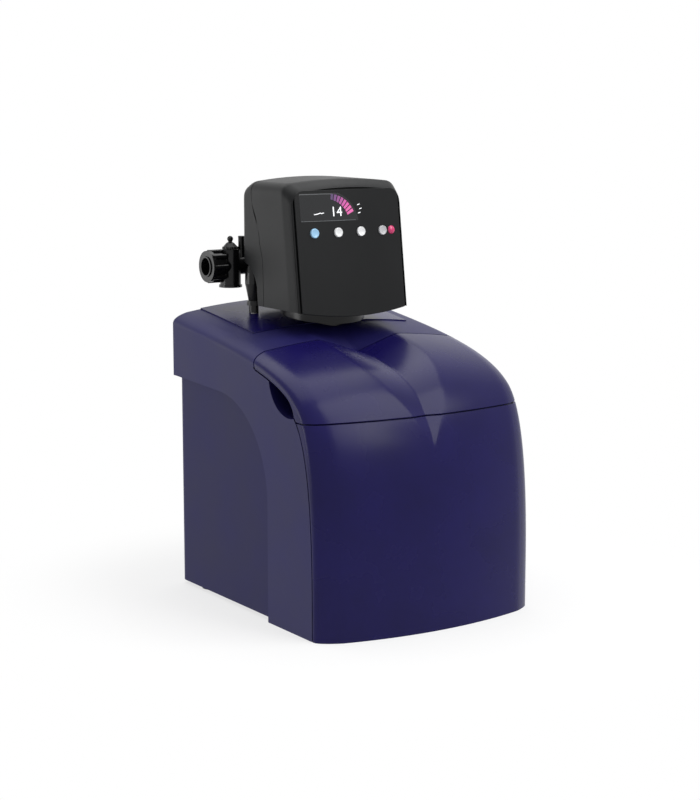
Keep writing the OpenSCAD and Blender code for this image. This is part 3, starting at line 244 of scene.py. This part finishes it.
def prof(u):  # u goes from -1 at the floor over 0 and 1 to 2 at the back
    if u < 0:
        return Vector((frontY, sk["frontRise"] * (1 + u)))
    return bez(frontCtrl, u) if u < 1 else bez(topCtrl, u - 1)


def profIn(u):
    d = Vector((0, 1)) if u < 0 else bezDir(frontCtrl, u) if u < 1 else bezDir(topCtrl, u - 1)
    return Vector((d.y, -d.x))


def topness(u):
    return -profIn(u).y


def bisect(test, lo, hi, rounds=22):
    for i in range(rounds):
        m = (lo + hi) / 2
        lo, hi = (m, hi) if test(m) else (lo, m)
    return (lo + hi) / 2


tipU = bisect(lambda u: prof(u).y < sk["tipUp"], 0, 2)
deckU = bisect(lambda u: prof(u).x < deckFrontY, 0, 2)
runTable = {}


def valleyS(u):
    if u <= tipU:
        return 0.0
    key = round(u, 5)
    if key not in runTable:
        pts = [prof(mix(tipU, u, i / 16)) for i in range(17)]
        runTable[key] = sum((pts[i + 1] - pts[i]).length for i in range(16))
    return runTable[key]


def valleyW(u):
    left = max(0.0, 1 - valleyS(u) / sk["valleyRun"])
    return max(sk["valleyLeast"], sk["valleyHalf"] * (1 - left ** sk["valleyPower"]))


def valleyD(u):
    runOut = min(1.0, max(0.0, (deckFrontY - prof(u).x) / (deckFrontY - lidBackY)))
    return min(sk["valleyMax"], sk["valleyRate"] * valleyS(u)) * runOut


def atTop(pair, u):
    return mix(pair[0], pair[1], topness(u))


def bow(u):
    return mix(1 / sk["frontBow"], 1 / sk["crown"], topness(u)) / 2


def cornerX(u):
    return halfW - atTop(sk["cornerIn"], u)


def cornerEnd(u):
    return bow(u) * cornerX(u) ** 2 + atTop(sk["cornerDrop"], u)


def lipDrop(u):
    t, tb = topness(u), math.cos(rad(sk["browAngle"]))
    if t < tb:
        return mix(sk["lipFront"], sk["lipBrow"], t / tb)
    return mix(sk["lipTop"], sk["lipBrow"], max(0.0, (sk["flatTop"] - t) / (sk["flatTop"] - tb)) ** 1.5)


def edgeDrop(u):
    return cornerEnd(u) + lipDrop(u)


def cross(u, a):  # a goes from 0 on the centre line to 1 at the lower edge of the side
    x1, v, t0, c = cornerX(u), sk["valleyShare"], sk["topShare"], sk["cornerShare"]
    if a <= t0:
        w = valleyW(u)
        x = w * a / v if a < v else mix(w, x1, (a - v) / (t0 - v))
        k = 1 - math.sqrt((x / w) ** 2 + sk["foldSoft"])
        return x, bow(u) * x * x + valleyD(u) * (k + math.sqrt(k * k + sk["brimSoft"])) / 2
    if a < c:
        t = (a - t0) / (c - t0)
        d = bow(u) * x1 * x1
        mid = min(cornerEnd(u), d + (halfW - x1) * atTop(sk["cornerSlope"], u))
        return ((1 - t) ** 2 * x1 + 2 * t * (1 - t) * halfW + t * t * halfW,
                (1 - t) ** 2 * d + 2 * t * (1 - t) * mid + t * t * cornerEnd(u))
    return halfW, mix(cornerEnd(u), edgeDrop(u), (a - c) / (1 - c))


def skinPoint(u, a, side=1.0, depth=0.0):
    x, drop = cross(u, a)
    p = prof(u) + profIn(u) * (drop + depth)
    return Vector((side * x * (halfW - depth) / halfW, p.x, p.y))


def edgePoint(u, extra=0.0):
    return prof(u) + profIn(u) * (edgeDrop(u) + extra)


def levelEdge(z):  # the u of a level line, for each a
    return lambda a: bisect(lambda u: skinPoint(u, a).z < z, 0.3, 1.9)


def backEdge(y):  # a line across the top that leans forward down the sides
    def reach(a):
        def before(u):
            lean = sk["edgeLean"] * (cross(u, a)[1] - bow(u) * cornerX(u) ** 2) if a > sk["topShare"] else 0.0
            return skinPoint(u, a).y + lean < y
        return bisect(before, 0.3, 1.9)
    return reach


def skinGrid(bm, across, along, start, end, depth=0.0, ease=None):
    made = bmesh.ops.create_grid(bm, x_segments=across, y_segments=along, size=1.0)["verts"]
    reached = {}
    for v in made:
        a, side, s = min(1.0, abs(v.co.x)), (1.0 if v.co.x >= 0 else -1.0), (v.co.y + 1) / 2
        key = round(a, 5)
        if key not in reached:
            reached[key] = (start(a), end(a))
        u0, u1 = reached[key]
        u = ease(u0, u1, s) if ease else mix(u0, u1, s)
        v.co = skinPoint(u, a, side, depth)
    return made


inside = (0, 0.05, 0.15)
gap = sk["gap"]
lidFront, lidBack = levelEdge(sk["seamUp"] + gap / 2), backEdge(lidBackY - gap / 2)

# lid, with the two tongues that hook under the hood
lidSet = {"across": 96, "along": 64, "edge": 0.0012, "tongueX": 0.096, "tongueW": 0.022, "reach": 0.013,
          "root": 0.012, "clear": 0.0003, "tongueThick": 0.0022, "tongueEdge": 0.0005}
bm = bmesh.new()
skinGrid(bm, lidSet["across"], lidSet["along"], lidFront, lidBack)
faceOut(bm, inside)
lid = addPiece(bm, "lidShell", "lid", finish["navy_gloss"], ["lid"])
thicken(lid, sk["wall"], lidSet["edge"])
bm = bmesh.new()
for side in (-1, 1):
    for v in bmesh.ops.create_grid(bm, x_segments=8, y_segments=12, size=1.0)["verts"]:
        x = side * lidSet["tongueX"] + v.co.x * lidSet["tongueW"] / 2
        y = mix(lidBackY - lidSet["root"], lidBackY + lidSet["reach"], (v.co.y + 1) / 2)
        u = bisect(lambda k: prof(k).x < y, 0.5, 2)
        p = prof(u) + profIn(u) * (bow(u) * x * x + sk["wall"] + lidSet["clear"])
        v.co = (x, p.x, p.y)
faceOut(bm, inside)
tongues = addPiece(bm, "lidTongues", "lid", finish["navy_gloss"])
thicken(tongues, lidSet["tongueThick"], lidSet["tongueEdge"])
print("lid made")

# front panel, with the lip that stands behind the joint to the lid
frontSet = {"across": 96, "along": 80, "edge": 0.0012, "lipDown": 0.009, "lipUp": 0.006,
            "foot": 0.14, "lipAcross": 64, "lipAlong": 6, "lipDepth": 0.0033, "lipThick": 0.002, "lipEdge": 0.0005}
panelEdge = levelEdge(sk["seamUp"] - gap / 2)
bm = bmesh.new()
foot = frontSet["foot"]  # share of the rows on the straight foot
skinGrid(bm, frontSet["across"], frontSet["along"], lambda a: -1.0, panelEdge,
         ease=lambda u0, u1, s: s / foot - 1 if s < foot else u1 * (s - foot) / (1 - foot))
faceOut(bm, inside)
front = addPiece(bm, "frontShell", "cabinet", finish["navy_gloss"], ["front_panel"])
thicken(front, sk["wall"], frontSet["edge"])
bm = bmesh.new()
skinGrid(bm, frontSet["lipAcross"], frontSet["lipAlong"], levelEdge(sk["seamUp"] - frontSet["lipDown"]),
         levelEdge(sk["seamUp"] + frontSet["lipUp"]), depth=frontSet["lipDepth"])
faceOut(bm, inside)
frontLip = addPiece(bm, "frontLip", "cabinet", finish["navy_satin"])
thicken(frontLip, frontSet["lipThick"], frontSet["lipEdge"])
print("front made")

# hood: crowned top, sides with legs, arch and finger scoops, back
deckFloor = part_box("deck_panel")[0][2]
hoodSet = {
    "across": 96, "along": 44, "edge": 0.0014, "skirtUp": deckFloor - 0.057, "archUp": 0.260,
    "archRy": 0.115, "archRz": 0.118, "archLead": 0.008, "legW": 0.098,
    "scoopR": 0.045, "scoopY": 0.088, "scoopUp": 0.0475, "scoopDeep": 0.0245,
    "arcSteps": 20, "legSteps": 22, "lidSteps": 10, "floorSteps": 16, "rearBand": 0.012,
    "underSide": 0.006, "underFront": 0.008, "deckClear": 0.0003, "merge": 0.00002,
}
hoodEdge = backEdge(lidBackY + gap / 2)
scoopMid = Vector((frontY + hoodSet["scoopY"], sk["seamUp"] + hoodSet["scoopUp"]))
legBack = frontY + edgeDrop(-1) + hoodSet["legW"]
archMid = Vector((legBack + hoodSet["archRy"], hoodSet["archUp"] - hoodSet["archRz"]))
sideLidU = lidBack(1.0)


def outsideScoop(u):
    return (edgePoint(u, gap) - scoopMid).length > hoodSet["scoopR"]


def around(mid, ry, rz, angle):
    return Vector((mid.x + ry * math.cos(angle), mid.y + rz * math.sin(angle)))


def onRim(v):
    return any(e.is_boundary for e in v.link_edges)


scoopIn = bisect(outsideScoop, 0.8, 1.05)
scoopOut = bisect(lambda u: not outsideScoop(u), 1.05, sideLidU)
bitePts = [edgePoint(scoopIn, gap), edgePoint(scoopOut, gap)]
angles = [math.atan2((p - scoopMid).y, (p - scoopMid).x) for p in bitePts]
arcSteps, legSteps, lidSteps, floorSteps = (hoodSet[k] for k in ("arcSteps", "legSteps", "lidSteps", "floorSteps"))
biteArc = [around(scoopMid, hoodSet["scoopR"], hoodSet["scoopR"], mix(angles[0], angles[1], i / arcSteps))
           for i in range(arcSteps + 1)]
legLine = [edgePoint(-1, gap)] + [edgePoint(scoopIn * i / legSteps, gap) for i in range(legSteps)]
lidLine = [edgePoint(mix(scoopOut, sideLidU, i / lidSteps), gap) for i in range(1, lidSteps + 1)]
archLine = [around(archMid, hoodSet["archRy"], hoodSet["archRz"], rad(k)) for k in range(90, 181, 5)]
floorLine = [edgePoint(mix(scoopIn, scoopOut, i / floorSteps), gap) for i in range(1, floorSteps)]
bm = bmesh.new()
hoodVerts = skinGrid(bm, hoodSet["across"], hoodSet["along"], hoodEdge, lambda a: 2.0)
for v in hoodVerts:
    v.co.y = min(v.co.y, backY)
sideRows = {s: sorted((v for v in hoodVerts if abs(v.co.x - s * halfW) < 1e-6 and len(v.link_faces) < 3 and onRim(v)),
                      key=lambda v: v.co.y) for s in (-1, 1)}
rearY = max(v.co.y for v in hoodVerts)
backRow = sorted((v for v in hoodVerts if abs(v.co.y - rearY) < hoodSet["rearBand"] and onRim(v)
                  and v not in sideRows[-1][:-1] and v not in sideRows[1][:-1]), key=lambda v: v.co.x)
covered = [f for f in bm.faces if abs(f.calc_center_median().x) < sk["deckHalf"] - hoodSet["underSide"]
           and f.calc_center_median().y > deckFrontY + hoodSet["underFront"]]
bmesh.ops.delete(bm, geom=covered, context="FACES_ONLY")
for side in (-1, 1):
    outline = [Vector((y, hoodSet["skirtUp"])) for y in (backY, backY - hoodSet["archLead"])] + archLine
    outline += [Vector((legBack, 0.0))] + legLine + biteArc + lidLine
    bm.faces.new(sideRows[side] + [bm.verts.new((side * halfW, p.x, p.y)) for p in outline])
    for v in bmesh.ops.create_grid(bm, x_segments=arcSteps, y_segments=6, size=1.0)["verts"]:  # wall of the scoop
        p = biteArc[round((v.co.x + 1) * arcSteps / 2)]
        v.co = (side * (halfW - hoodSet["scoopDeep"] * (v.co.y + 1) / 2), p.x, p.y)
    scoopX = side * (halfW - hoodSet["scoopDeep"])
    bm.faces.new([bm.verts.new((scoopX, p.x, p.y)) for p in biteArc + floorLine[::-1]])
backSide = sk["deckHalf"] + hoodSet["deckClear"]
for side in (-1, 1):
    rows = [v for v in backRow if side * v.co.x > backSide]
    rows.sort(key=lambda v: -abs(v.co.x))
    corners = [(side * backSide, rows[-1].co.z), (side * backSide, deckFloor), (0.0, deckFloor),
               (0.0, hoodSet["skirtUp"]), (side * halfW, hoodSet["skirtUp"])]
    bm.faces.new(rows + [bm.verts.new((x, backY, z)) for x, z in corners])
bmesh.ops.delete(bm, geom=[v for v in bm.verts if not v.link_faces], context="VERTS")
bmesh.ops.remove_doubles(bm, verts=bm.verts[:], dist=hoodSet["merge"])
bm.normal_update()
for face in bm.faces:  # each wall of the hood looks out of it, and the scoop's wall into the scoop
    c = face.calc_center_median()
    out = c - Vector(inside)
    if abs(face.normal.x) > 0.98:
        out = Vector((c.x, 0, 0))
    elif face.normal.y > 0.98 or face.normal.y < -0.98 and c.y > backY - 0.001:
        out = Vector((0, 1, 0))
    elif (abs(c.x) < halfW - 0.0005 and abs(face.normal.x) < 0.01
          and (Vector((c.y, c.z)) - scoopMid).length < hoodSet["scoopR"] + 0.0003):
        out = Vector((0, scoopMid.x - c.y, scoopMid.y - c.z))
    if face.normal.dot(out) < 0:
        face.normal_flip()
hood = addPiece(bm, "hoodShell", "cabinet", finish["navy_satin"], ["hood"])
thicken(hood, sk["wall"], hoodSet["edge"])
print("hood made")

# deck: the raised panel behind the head, with its skirt down the back
deckSet = {"across": 48, "along": 60, "edge": 0.0011, "top": 0.8, "thick": 0.004}
bm = bmesh.new()
for v in bmesh.ops.create_grid(bm, x_segments=deckSet["across"], y_segments=deckSet["along"], size=1.0)["verts"]:
    x, s = v.co.x * sk["deckHalf"], (v.co.y + 1) / 2
    u = min(2.0, mix(deckU, 2.0, s / deckSet["top"]))
    p = prof(u) + profIn(u) * (bow(u) * x * x - sk["deckRise"])
    down = max(0.0, (s - deckSet["top"]) / (1 - deckSet["top"]))
    z = mix(p.y, deckFloor + hoodSet["deckClear"], down)
    v.co = (x, min(p.x, backY), z)
faceOut(bm, inside)
deck = addPiece(bm, "deckShell", "cabinet", finish["navy_gloss"], ["deck_panel"])
thicken(deck, deckSet["thick"], deckSet["edge"])
print("deck made")

# control head
headSet = {
    "half": 0.082, "low": 0.348, "top": 0.511, "ahead": 0.0785, "back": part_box("head_housing")[1][1], "lean": 7.5,
    "bow": 0.006, "sag": 0.008, "crown": 0.004, "round": 0.015, "wall": 0.0024, "edge": 0.0006, "across": 72,
    "topShare": 0.42, "roundShare": 0.66,
}
hd = headSet
headY = vesselY - hd["ahead"]
bowR = (hd["half"] ** 2 + hd["bow"] ** 2) / 2 / hd["bow"]
lowR = (hd["half"] ** 2 + hd["sag"] ** 2) / 2 / hd["sag"]
leanTan = math.tan(rad(hd["lean"]))
headMiddle = (0, headY + 0.07, 0.43)


def bowIn(x):
    return bowR - math.sqrt(bowR * bowR - x * x)


def faceY(x, z):  # the leaning, bowed plane of the face
    return headY + (z - hd["low"]) * leanTan + bowIn(x)


def lowEdge(x):
    return hd["low"] + lowR - math.sqrt(lowR * lowR - x * x)


def ringPoint(t, half, top, low=None):  # t from -1 at the left foot over 0 on top to 1 at the right foot
    a, side, r = abs(t), (1 if t >= 0 else -1), hd["round"]
    t0, t1 = hd["topShare"], hd["roundShare"]
    shoulder = top - hd["crown"] - r
    if a < t0:
        return side * (half - r) * a / t0, top - hd["crown"] * (a / t0) ** 2
    if a < t1:
        k = rad(90 * (1 - (a - t0) / (t1 - t0)))
        return side * (half - r + r * math.cos(k)), shoulder + r * math.sin(k)
    foot = lowEdge(half) if low is None else low
    return side * half, mix(shoulder, foot, (a - t1) / (1 - t1))


splitSet = [  # height above the head's foot, distance behind its face's foot
    (-0.005, 0.082), (0.060, 0.084), (0.090, 0.092), (0.135, 0.110), (0.170, 0.114),
]


def splitY(z):  # S-shaped joint between cover and housing
    h = z - hd["low"]
    for (h0, y0), (h1, y1) in zip(splitSet, splitSet[1:]):
        if h <= h1:
            k = (h - h0) / (h1 - h0)
            return headY + mix(y0, y1, k * k * (3 - 2 * k))
    return headY + splitSet[-1][1]


coverSet = [  # rim of the cover: half width, top, distance behind the face
    (0.0722, 0.4965, 0.0034), (0.0756, 0.5002, 0.0032), (0.0759, 0.5006, 0.0010), (0.0764, 0.5011, 0.0003),
    (0.0771, 0.5019, 0.0010), (0.0793, 0.5058, 0.0070), (0.0815, 0.5097, 0.0132), (0.0819, 0.5106, 0.0148),
    (0.0820, 0.5110, 0.0172),
]
sideRowCount, splitGap = 14, 0.0003
bm = bmesh.new()
rows = len(coverSet) - 1 + sideRowCount
for v in bmesh.ops.create_grid(bm, x_segments=hd["across"], y_segments=rows, size=1.0)["verts"]:
    t, i = v.co.x, round((v.co.y + 1) / 2 * rows)
    half, top, off = coverSet[min(i, len(coverSet) - 1)]
    x, z = ringPoint(t, half, top)
    y = faceY(x, z) + off
    if i >= len(coverSet):
        k = (i - len(coverSet) + 1) / sideRowCount
        y = mix(y, splitY(z) - splitGap, k)
    v.co = (x, y, z)
faceOut(bm, headMiddle)
cover = addPiece(bm, "headCover", "cabinet", finish["black_satin"], ["head_cover"])
thicken(cover, hd["wall"], hd["edge"], 2)

housingSet = {"notchR": 0.040, "notchUp": 0.368, "notchX": 0.055, "round": 0.012, "fall": 0.006, "rows": 26,
              "flat": 0.8, "gap": 0.0002}
hs = housingSet
bm = bmesh.new()
backRing = []
for v in bmesh.ops.create_grid(bm, x_segments=hd["across"], y_segments=hs["rows"], size=1.0)["verts"]:
    t, k = v.co.x, (v.co.y + 1) / 2
    turn = rad(90 * max(0.0, (k - hs["flat"]) / (1 - hs["flat"])))
    shrink = hs["round"] * (1 - math.cos(turn))
    top = hd["top"] - hs["fall"] * k * k - shrink
    x, z = ringPoint(t, hd["half"] - shrink, top)
    flatEnd = hd["back"] - hs["round"]
    y = mix(splitY(z) + hs["gap"], flatEnd, min(1.0, k / hs["flat"])) + hs["round"] * math.sin(turn)
    reach = hs["notchR"] ** 2 - (y - hd["back"]) ** 2
    if reach > 0 and abs(t) > hd["roundShare"]:
        x, z = ringPoint(t, hd["half"] - shrink, top, low=hs["notchUp"] + math.sqrt(reach))
    if k > 0.999:
        backRing.append((t, v))
    v.co = (x, y, z)
backRing = [v for t, v in sorted(backRing, key=lambda item: item[0])]
for side in (1, -1):
    foot = backRing[-1] if side > 0 else backRing[0]
    backRing = backRing if side > 0 else backRing[::-1]
    backRing += [bm.verts.new((side * hs["notchX"], hd["back"], z)) for z in (foot.co.z, lowEdge(hs["notchX"]))]
bm.faces.new(backRing)
faceOut(bm, headMiddle)
housing = addPiece(bm, "headHousing", "cabinet", finish["black_satin"], ["head_housing"])
thicken(housing, hd["wall"], hd["edge"], 2)

fasciaSet = {"half": 0.0741, "top": 0.4988, "corner": 0.012, "thick": 0.003, "edge": 0.0008}
fs = fasciaSet
bm = bmesh.new()
for v in bmesh.ops.create_grid(bm, x_segments=64, y_segments=60, size=1.0)["verts"]:
    q = (v.co.y + 1) / 2
    z = mix(hd["low"], fs["top"], q)
    over = max(0.0, z - (fs["top"] - fs["corner"]))
    half = fs["half"] - (fs["corner"] - math.sqrt(max(0.0, fs["corner"] ** 2 - over ** 2)))
    x = v.co.x * half
    z = mix(lowEdge(x), fs["top"], q)
    v.co = (x, faceY(x, z), z)
faceOut(bm, headMiddle)
fascia = addPiece(bm, "headFascia", "cabinet", finish["black_satin"], ["fascia"])
thicken(fascia, fs["thick"], fs["edge"])
print("head made")

# display, on the face: x across, up along the leaning face
up0 = math.cos(rad(hd["lean"]))


def onFace(x, up, lift=0.0):
    z = hd["low"] + up * up0
    return Vector((x, faceY(x, z) - lift, z + lift * math.sin(rad(hd["lean"]))))


def flatOnFace(verts, lift):
    for v in verts:
        v.co = onFace(v.co.x, v.co.y, lift)


glassSet = {"left": -0.068, "low": 0.1145, "high": 0.148, "mid": (-0.029, 0.110), "arcR": 0.0405, "thick": 0.0014,
            "edge": 0.0003, "lift": 0.0003, "lineLift": 0.00042, "arcLift": 0.00045, "markLift": 0.00046}
gs = glassSet


def glassRight(up):
    return gs["mid"][0] + math.sqrt(max(0.0, gs["arcR"] ** 2 - (up - gs["mid"][1]) ** 2))


bm = bmesh.new()
grid = bmesh.ops.create_grid(bm, x_segments=48, y_segments=24, size=1.0)["verts"]
for v in grid:
    up = mix(gs["low"], gs["high"], (v.co.y + 1) / 2)
    v.co = (mix(gs["left"], glassRight(up), (v.co.x + 1) / 2), up, 0)
flatOnFace(grid, gs["lift"])
faceOut(bm, headMiddle)
glass = addPiece(bm, "displayGlass", "cabinet", finish["smoked_glass"], ["display_window"])
thicken(glass, gs["thick"], gs["edge"], 2)

glowSet = {
    "white": (0.85, 0.86, 0.88), "line": (0.07, 0.075, 0.08),
    "arc": [(0.06, 0.03, 0.09), (0.12, 0.04, 0.14), (0.20, 0.05, 0.18), (0.30, 0.06, 0.22),
            (0.42, 0.07, 0.26), (0.50, 0.08, 0.28), (0.52, 0.09, 0.28), (0.55, 0.10, 0.30)],
}


def litFinish(name, tint):
    return plastic("lit_" + name, tint, vary=0.05, rough=0.5, spread=0.05, grain=400, bump=0.0, glow=tint)


lit = {name: litFinish(name, glowSet[name]) for name in ("white", "line")}
arcMats = [litFinish("arc_%d" % i, c) for i, c in enumerate(glowSet["arc"])]
lineSet = {"start": 0.0006, "in": 0.0008, "lowEnd": 0.004, "topEnd": 0.004, "half": 0.00028}
lineStart = gs["left"] + lineSet["start"]
lowEnd, topEnd = glassRight(gs["low"]) - lineSet["lowEnd"], gs["mid"][0] + lineSet["topEnd"]
lineLow = [(mix(lineStart, lowEnd, i / 30), gs["low"] + lineSet["in"]) for i in range(31)]
lineTop = [(mix(lineStart, topEnd, i / 20), gs["high"] - lineSet["in"]) for i in range(21)]
bm = bmesh.new()
for path in (lineLow, lineTop):
    strip = bmesh.ops.create_grid(bm, x_segments=len(path) - 1, y_segments=1, size=1.0)["verts"]
    for v in strip:
        p = path[round((v.co.x + 1) / 2 * (len(path) - 1))]
        v.co = (p[0], p[1] + v.co.y * lineSet["half"], 0)
    flatOnFace(strip, gs["lineLift"])
faceOut(bm, headMiddle)
addPiece(bm, "displayLine", "cabinet", lit["line"])
arcSet = {"from": 86.0, "to": 24.0, "inner": 0.0275, "outer": 0.0375, "space": 0.26, "taper": 0.003}
bm = bmesh.new()
count = len(glowSet["arc"])
for i in range(count):
    seg = bmesh.ops.create_grid(bm, x_segments=5, y_segments=3, size=1.0)
    for v in seg["verts"]:
        k = (i + arcSet["space"] / 2 + (1 - arcSet["space"]) * (v.co.x + 1) / 2) / count
        a = rad(mix(arcSet["from"], arcSet["to"], k))
        r = mix(arcSet["inner"] + arcSet["taper"] * (1 - k), arcSet["outer"], (v.co.y + 1) / 2)
        v.co = onFace(gs["mid"][0] + r * math.cos(a), gs["mid"][1] + r * math.sin(a), gs["arcLift"])
    for f in {f for v in seg["verts"] for f in v.link_faces}:
        f.material_index = i
faceOut(bm, headMiddle)
arcPiece = addPiece(bm, "displayArc", "cabinet", arcMats[0])
for m in arcMats[1:]:
    arcPiece.data.materials.append(m)
textSet = {"body": "14", "size": 0.0165, "place": (-0.0275, 0.1205)}
curve = bpy.data.curves.new("digits", "FONT")
curve.body = textSet["body"]
curve.size = textSet["size"]
digitsObj = bpy.data.objects.new("digitsCurve", curve)
bpy.context.collection.objects.link(digitsObj)
bpy.context.view_layer.update()
digitsMesh = bpy.data.meshes.new_from_object(digitsObj)
bpy.data.objects.remove(digitsObj)
bm = bmesh.new()
bm.from_mesh(digitsMesh)
for v in bm.verts:
    v.co = (v.co.x + textSet["place"][0], v.co.y + textSet["place"][1], 0)
flatOnFace(bm.verts, gs["markLift"])
markSet = [  # dashes beside the number: across, up, half length
    (-0.047, 0.1235, 0.0030), (-0.0425, 0.1245, 0.0020), (-0.0385, 0.1245, 0.0020),
    (0.0125, 0.1335, 0.0018), (0.0150, 0.1285, 0.0018), (0.0130, 0.1235, 0.0018),
]
markHalf, markRise = 0.0005, 0.0004
for x, up, w in markSet:
    mark = bmesh.ops.create_grid(bm, x_segments=3, y_segments=1, size=1.0)["verts"]
    for v in mark:
        v.co = onFace(x + v.co.x * w, up + v.co.y * markHalf + v.co.x * markRise, gs["markLift"])
faceOut(bm, headMiddle)
addPiece(bm, "displayDigits", "cabinet", lit["white"])
print("display made")

# push buttons: dished caps with a rim, spun about their axis, and the lamp beside the last one
buttonSet = {"up": 0.101, "pitch": 0.0323, "shift": -0.0025, "r": 0.0058, "proud": 0.0020, "stem": 0.012,
             "lampGap": 0.014, "lampR": 0.0053}
bs = buttonSet
intoFace = Matrix.Rotation(rad(90 - hd["lean"]), 4, "X")


def spunPiece(profile, place):
    bm = bmesh.new()
    verts = [bm.verts.new((r, 0, h)) for r, h in profile]
    edges = [bm.edges.new(pair) for pair in zip(verts, verts[1:])]
    bmesh.ops.spin(bm, geom=verts + edges, cent=(0, 0, 0), axis=(0, 0, 1), angle=rad(360), steps=48, use_merge=True)
    bmesh.ops.remove_doubles(bm, verts=bm.verts[:], dist=0.00001)
    bmesh.ops.recalc_face_normals(bm, faces=bm.faces[:])
    bmesh.ops.transform(bm, matrix=Matrix.Translation(place) @ intoFace, verts=bm.verts[:])
    return bm


for i, slotName in enumerate(("blue_plastic", "white_plastic", "white_plastic", "silver_plastic")):
    x = (i - 1.5) * bs["pitch"] + bs["shift"]
    r, h = bs["r"], bs["proud"]
    profile = [(0.0, h - 0.0006), (r * 0.45, h - 0.0005), (r * 0.74, h - 0.0001), (r * 0.82, h + 0.0001),
               (r * 0.90, h), (r * 0.97, h - 0.0004), (r, h - 0.0010), (r, -0.0040),
               (r * 0.7, -0.0045), (r * 0.7, -bs["stem"]), (0.0, -bs["stem"])]
    bm = spunPiece(profile, onFace(x, bs["up"]))
    button = "button_%d" % (i + 1)
    addPiece(bm, "buttonCap%d" % (i + 1), button, finish[slotName], [button])
lampX = 1.5 * bs["pitch"] + bs["shift"] + bs["lampGap"]
r = bs["lampR"]
profile = [(0.0, 0.0024), (r * 0.35, 0.0022), (r * 0.62, 0.0017), (r * 0.84, 0.0010),
           (r * 0.96, 0.0003), (r, -0.0006), (r, -0.004), (0.0, -0.004)]
bm = spunPiece(profile, onFace(lampX, bs["up"]))
addPiece(bm, "lampLens", "cabinet", finish["red_plastic"], ["status_lens"])
print("buttons made")

# floor and light
stageSet = {"size": 0.62, "paper": 0.90, "near": 0.27, "far": 0.50, "least": 0.70, "sky": 0.32}
bm = bmesh.new()
bmesh.ops.create_circle(bm, cap_ends=True, segments=96, radius=stageSet["size"])
floorMesh = bpy.data.meshes.new("floor")
bm.to_mesh(floorMesh)
bm.free()
floor = bpy.data.objects.new("floor", floorMesh)
bpy.context.collection.objects.link(floor)
floor.visible_glossy = False  # the walls of the studio show in the gloss, not the paper
paper = bpy.data.materials.new("floorPaper")
paper.use_nodes = True
tree = paper.node_tree
tree.nodes.remove(tree.nodes["Principled BSDF"])
matte = tree.nodes.new("ShaderNodeBsdfDiffuse")
matte.inputs["Color"].default_value = (stageSet["paper"],) * 3 + (1,)
white = tree.nodes.new("ShaderNodeEmission")
place = tree.nodes.new("ShaderNodeTexCoord")
length = tree.nodes.new("ShaderNodeVectorMath")
length.operation = "LENGTH"
fade = tree.nodes.new("ShaderNodeMapRange")
fade.interpolation_type = "SMOOTHSTEP"
fade.inputs["From Min"].default_value = stageSet["near"]
fade.inputs["From Max"].default_value = stageSet["far"]
fade.inputs["To Min"].default_value = stageSet["least"]
both = tree.nodes.new("ShaderNodeMixShader")
tree.links.new(place.outputs["Object"], length.inputs[0])
tree.links.new(length.outputs["Value"], fade.inputs["Value"])
eye = tree.nodes.new("ShaderNodeLightPath")
only = tree.nodes.new("ShaderNodeMath")
only.operation = "MULTIPLY"
tree.links.new(fade.outputs["Result"], only.inputs[0])
tree.links.new(eye.outputs["Is Camera Ray"], only.inputs[1])
tree.links.new(only.outputs["Value"], both.inputs["Fac"])
tree.links.new(matte.outputs["BSDF"], both.inputs[1])
tree.links.new(white.outputs["Emission"], both.inputs[2])
tree.links.new(both.outputs["Shader"], tree.nodes["Material Output"].inputs["Surface"])
floorMesh.materials.append(paper)

world = bpy.data.worlds.new("studio")
scene.world = world
world.use_nodes = True
tree = world.node_tree
sky = tree.nodes["Background"]
sky.inputs["Color"].default_value = (1, 1, 1, 1)
seen = tree.nodes.new("ShaderNodeBackground")
seen.inputs["Color"].default_value = (1, 1, 1, 1)
sky.inputs["Strength"].default_value = stageSet["sky"]
rays = tree.nodes.new("ShaderNodeLightPath")
either = tree.nodes.new("ShaderNodeMath")
either.operation = "MAXIMUM"
tree.links.new(rays.outputs["Is Camera Ray"], either.inputs[0])
tree.links.new(rays.outputs["Is Transmission Ray"], either.inputs[1])
orGloss = tree.nodes.new("ShaderNodeMath")
orGloss.operation = "MAXIMUM"
tree.links.new(either.outputs["Value"], orGloss.inputs[0])
tree.links.new(rays.outputs["Is Glossy Ray"], orGloss.inputs[1])
skyMix = tree.nodes.new("ShaderNodeMixShader")
tree.links.new(orGloss.outputs["Value"], skyMix.inputs["Fac"])
tree.links.new(sky.outputs["Background"], skyMix.inputs[1])
tree.links.new(seen.outputs["Background"], skyMix.inputs[2])
tree.links.new(skyMix.outputs["Shader"], tree.nodes["World Output"].inputs["Surface"])

lampSet = [  # name, place, size, power
    ("key", (0.77, -1.2, 2.0), 1.5, 32.0), ("top", (0.1, 0.5, 2.2), 2.0, 26.0), ("side", (-1.6, 1.7, 0.7), 1.4, 9.0),
    ("strip", (-2.2, 0.7, 0.4), 0.8, 9.0), ("glint", (0.5, -1.9, 1.25), 0.6, 6.0),
]
for name, place, size, power in lampSet:
    lamp = bpy.data.lights.new(name, "AREA")
    lamp.size = size
    lamp.energy = power
    holder = bpy.data.objects.new(name, lamp)
    bpy.context.collection.objects.link(holder)
    holder.location = place
    holder.rotation_euler = (Vector((0, 0, 0.25)) - Vector(place)).to_track_quat("-Z", "Y").to_euler()
scene.view_settings.view_transform = "Standard"
print("stage made")
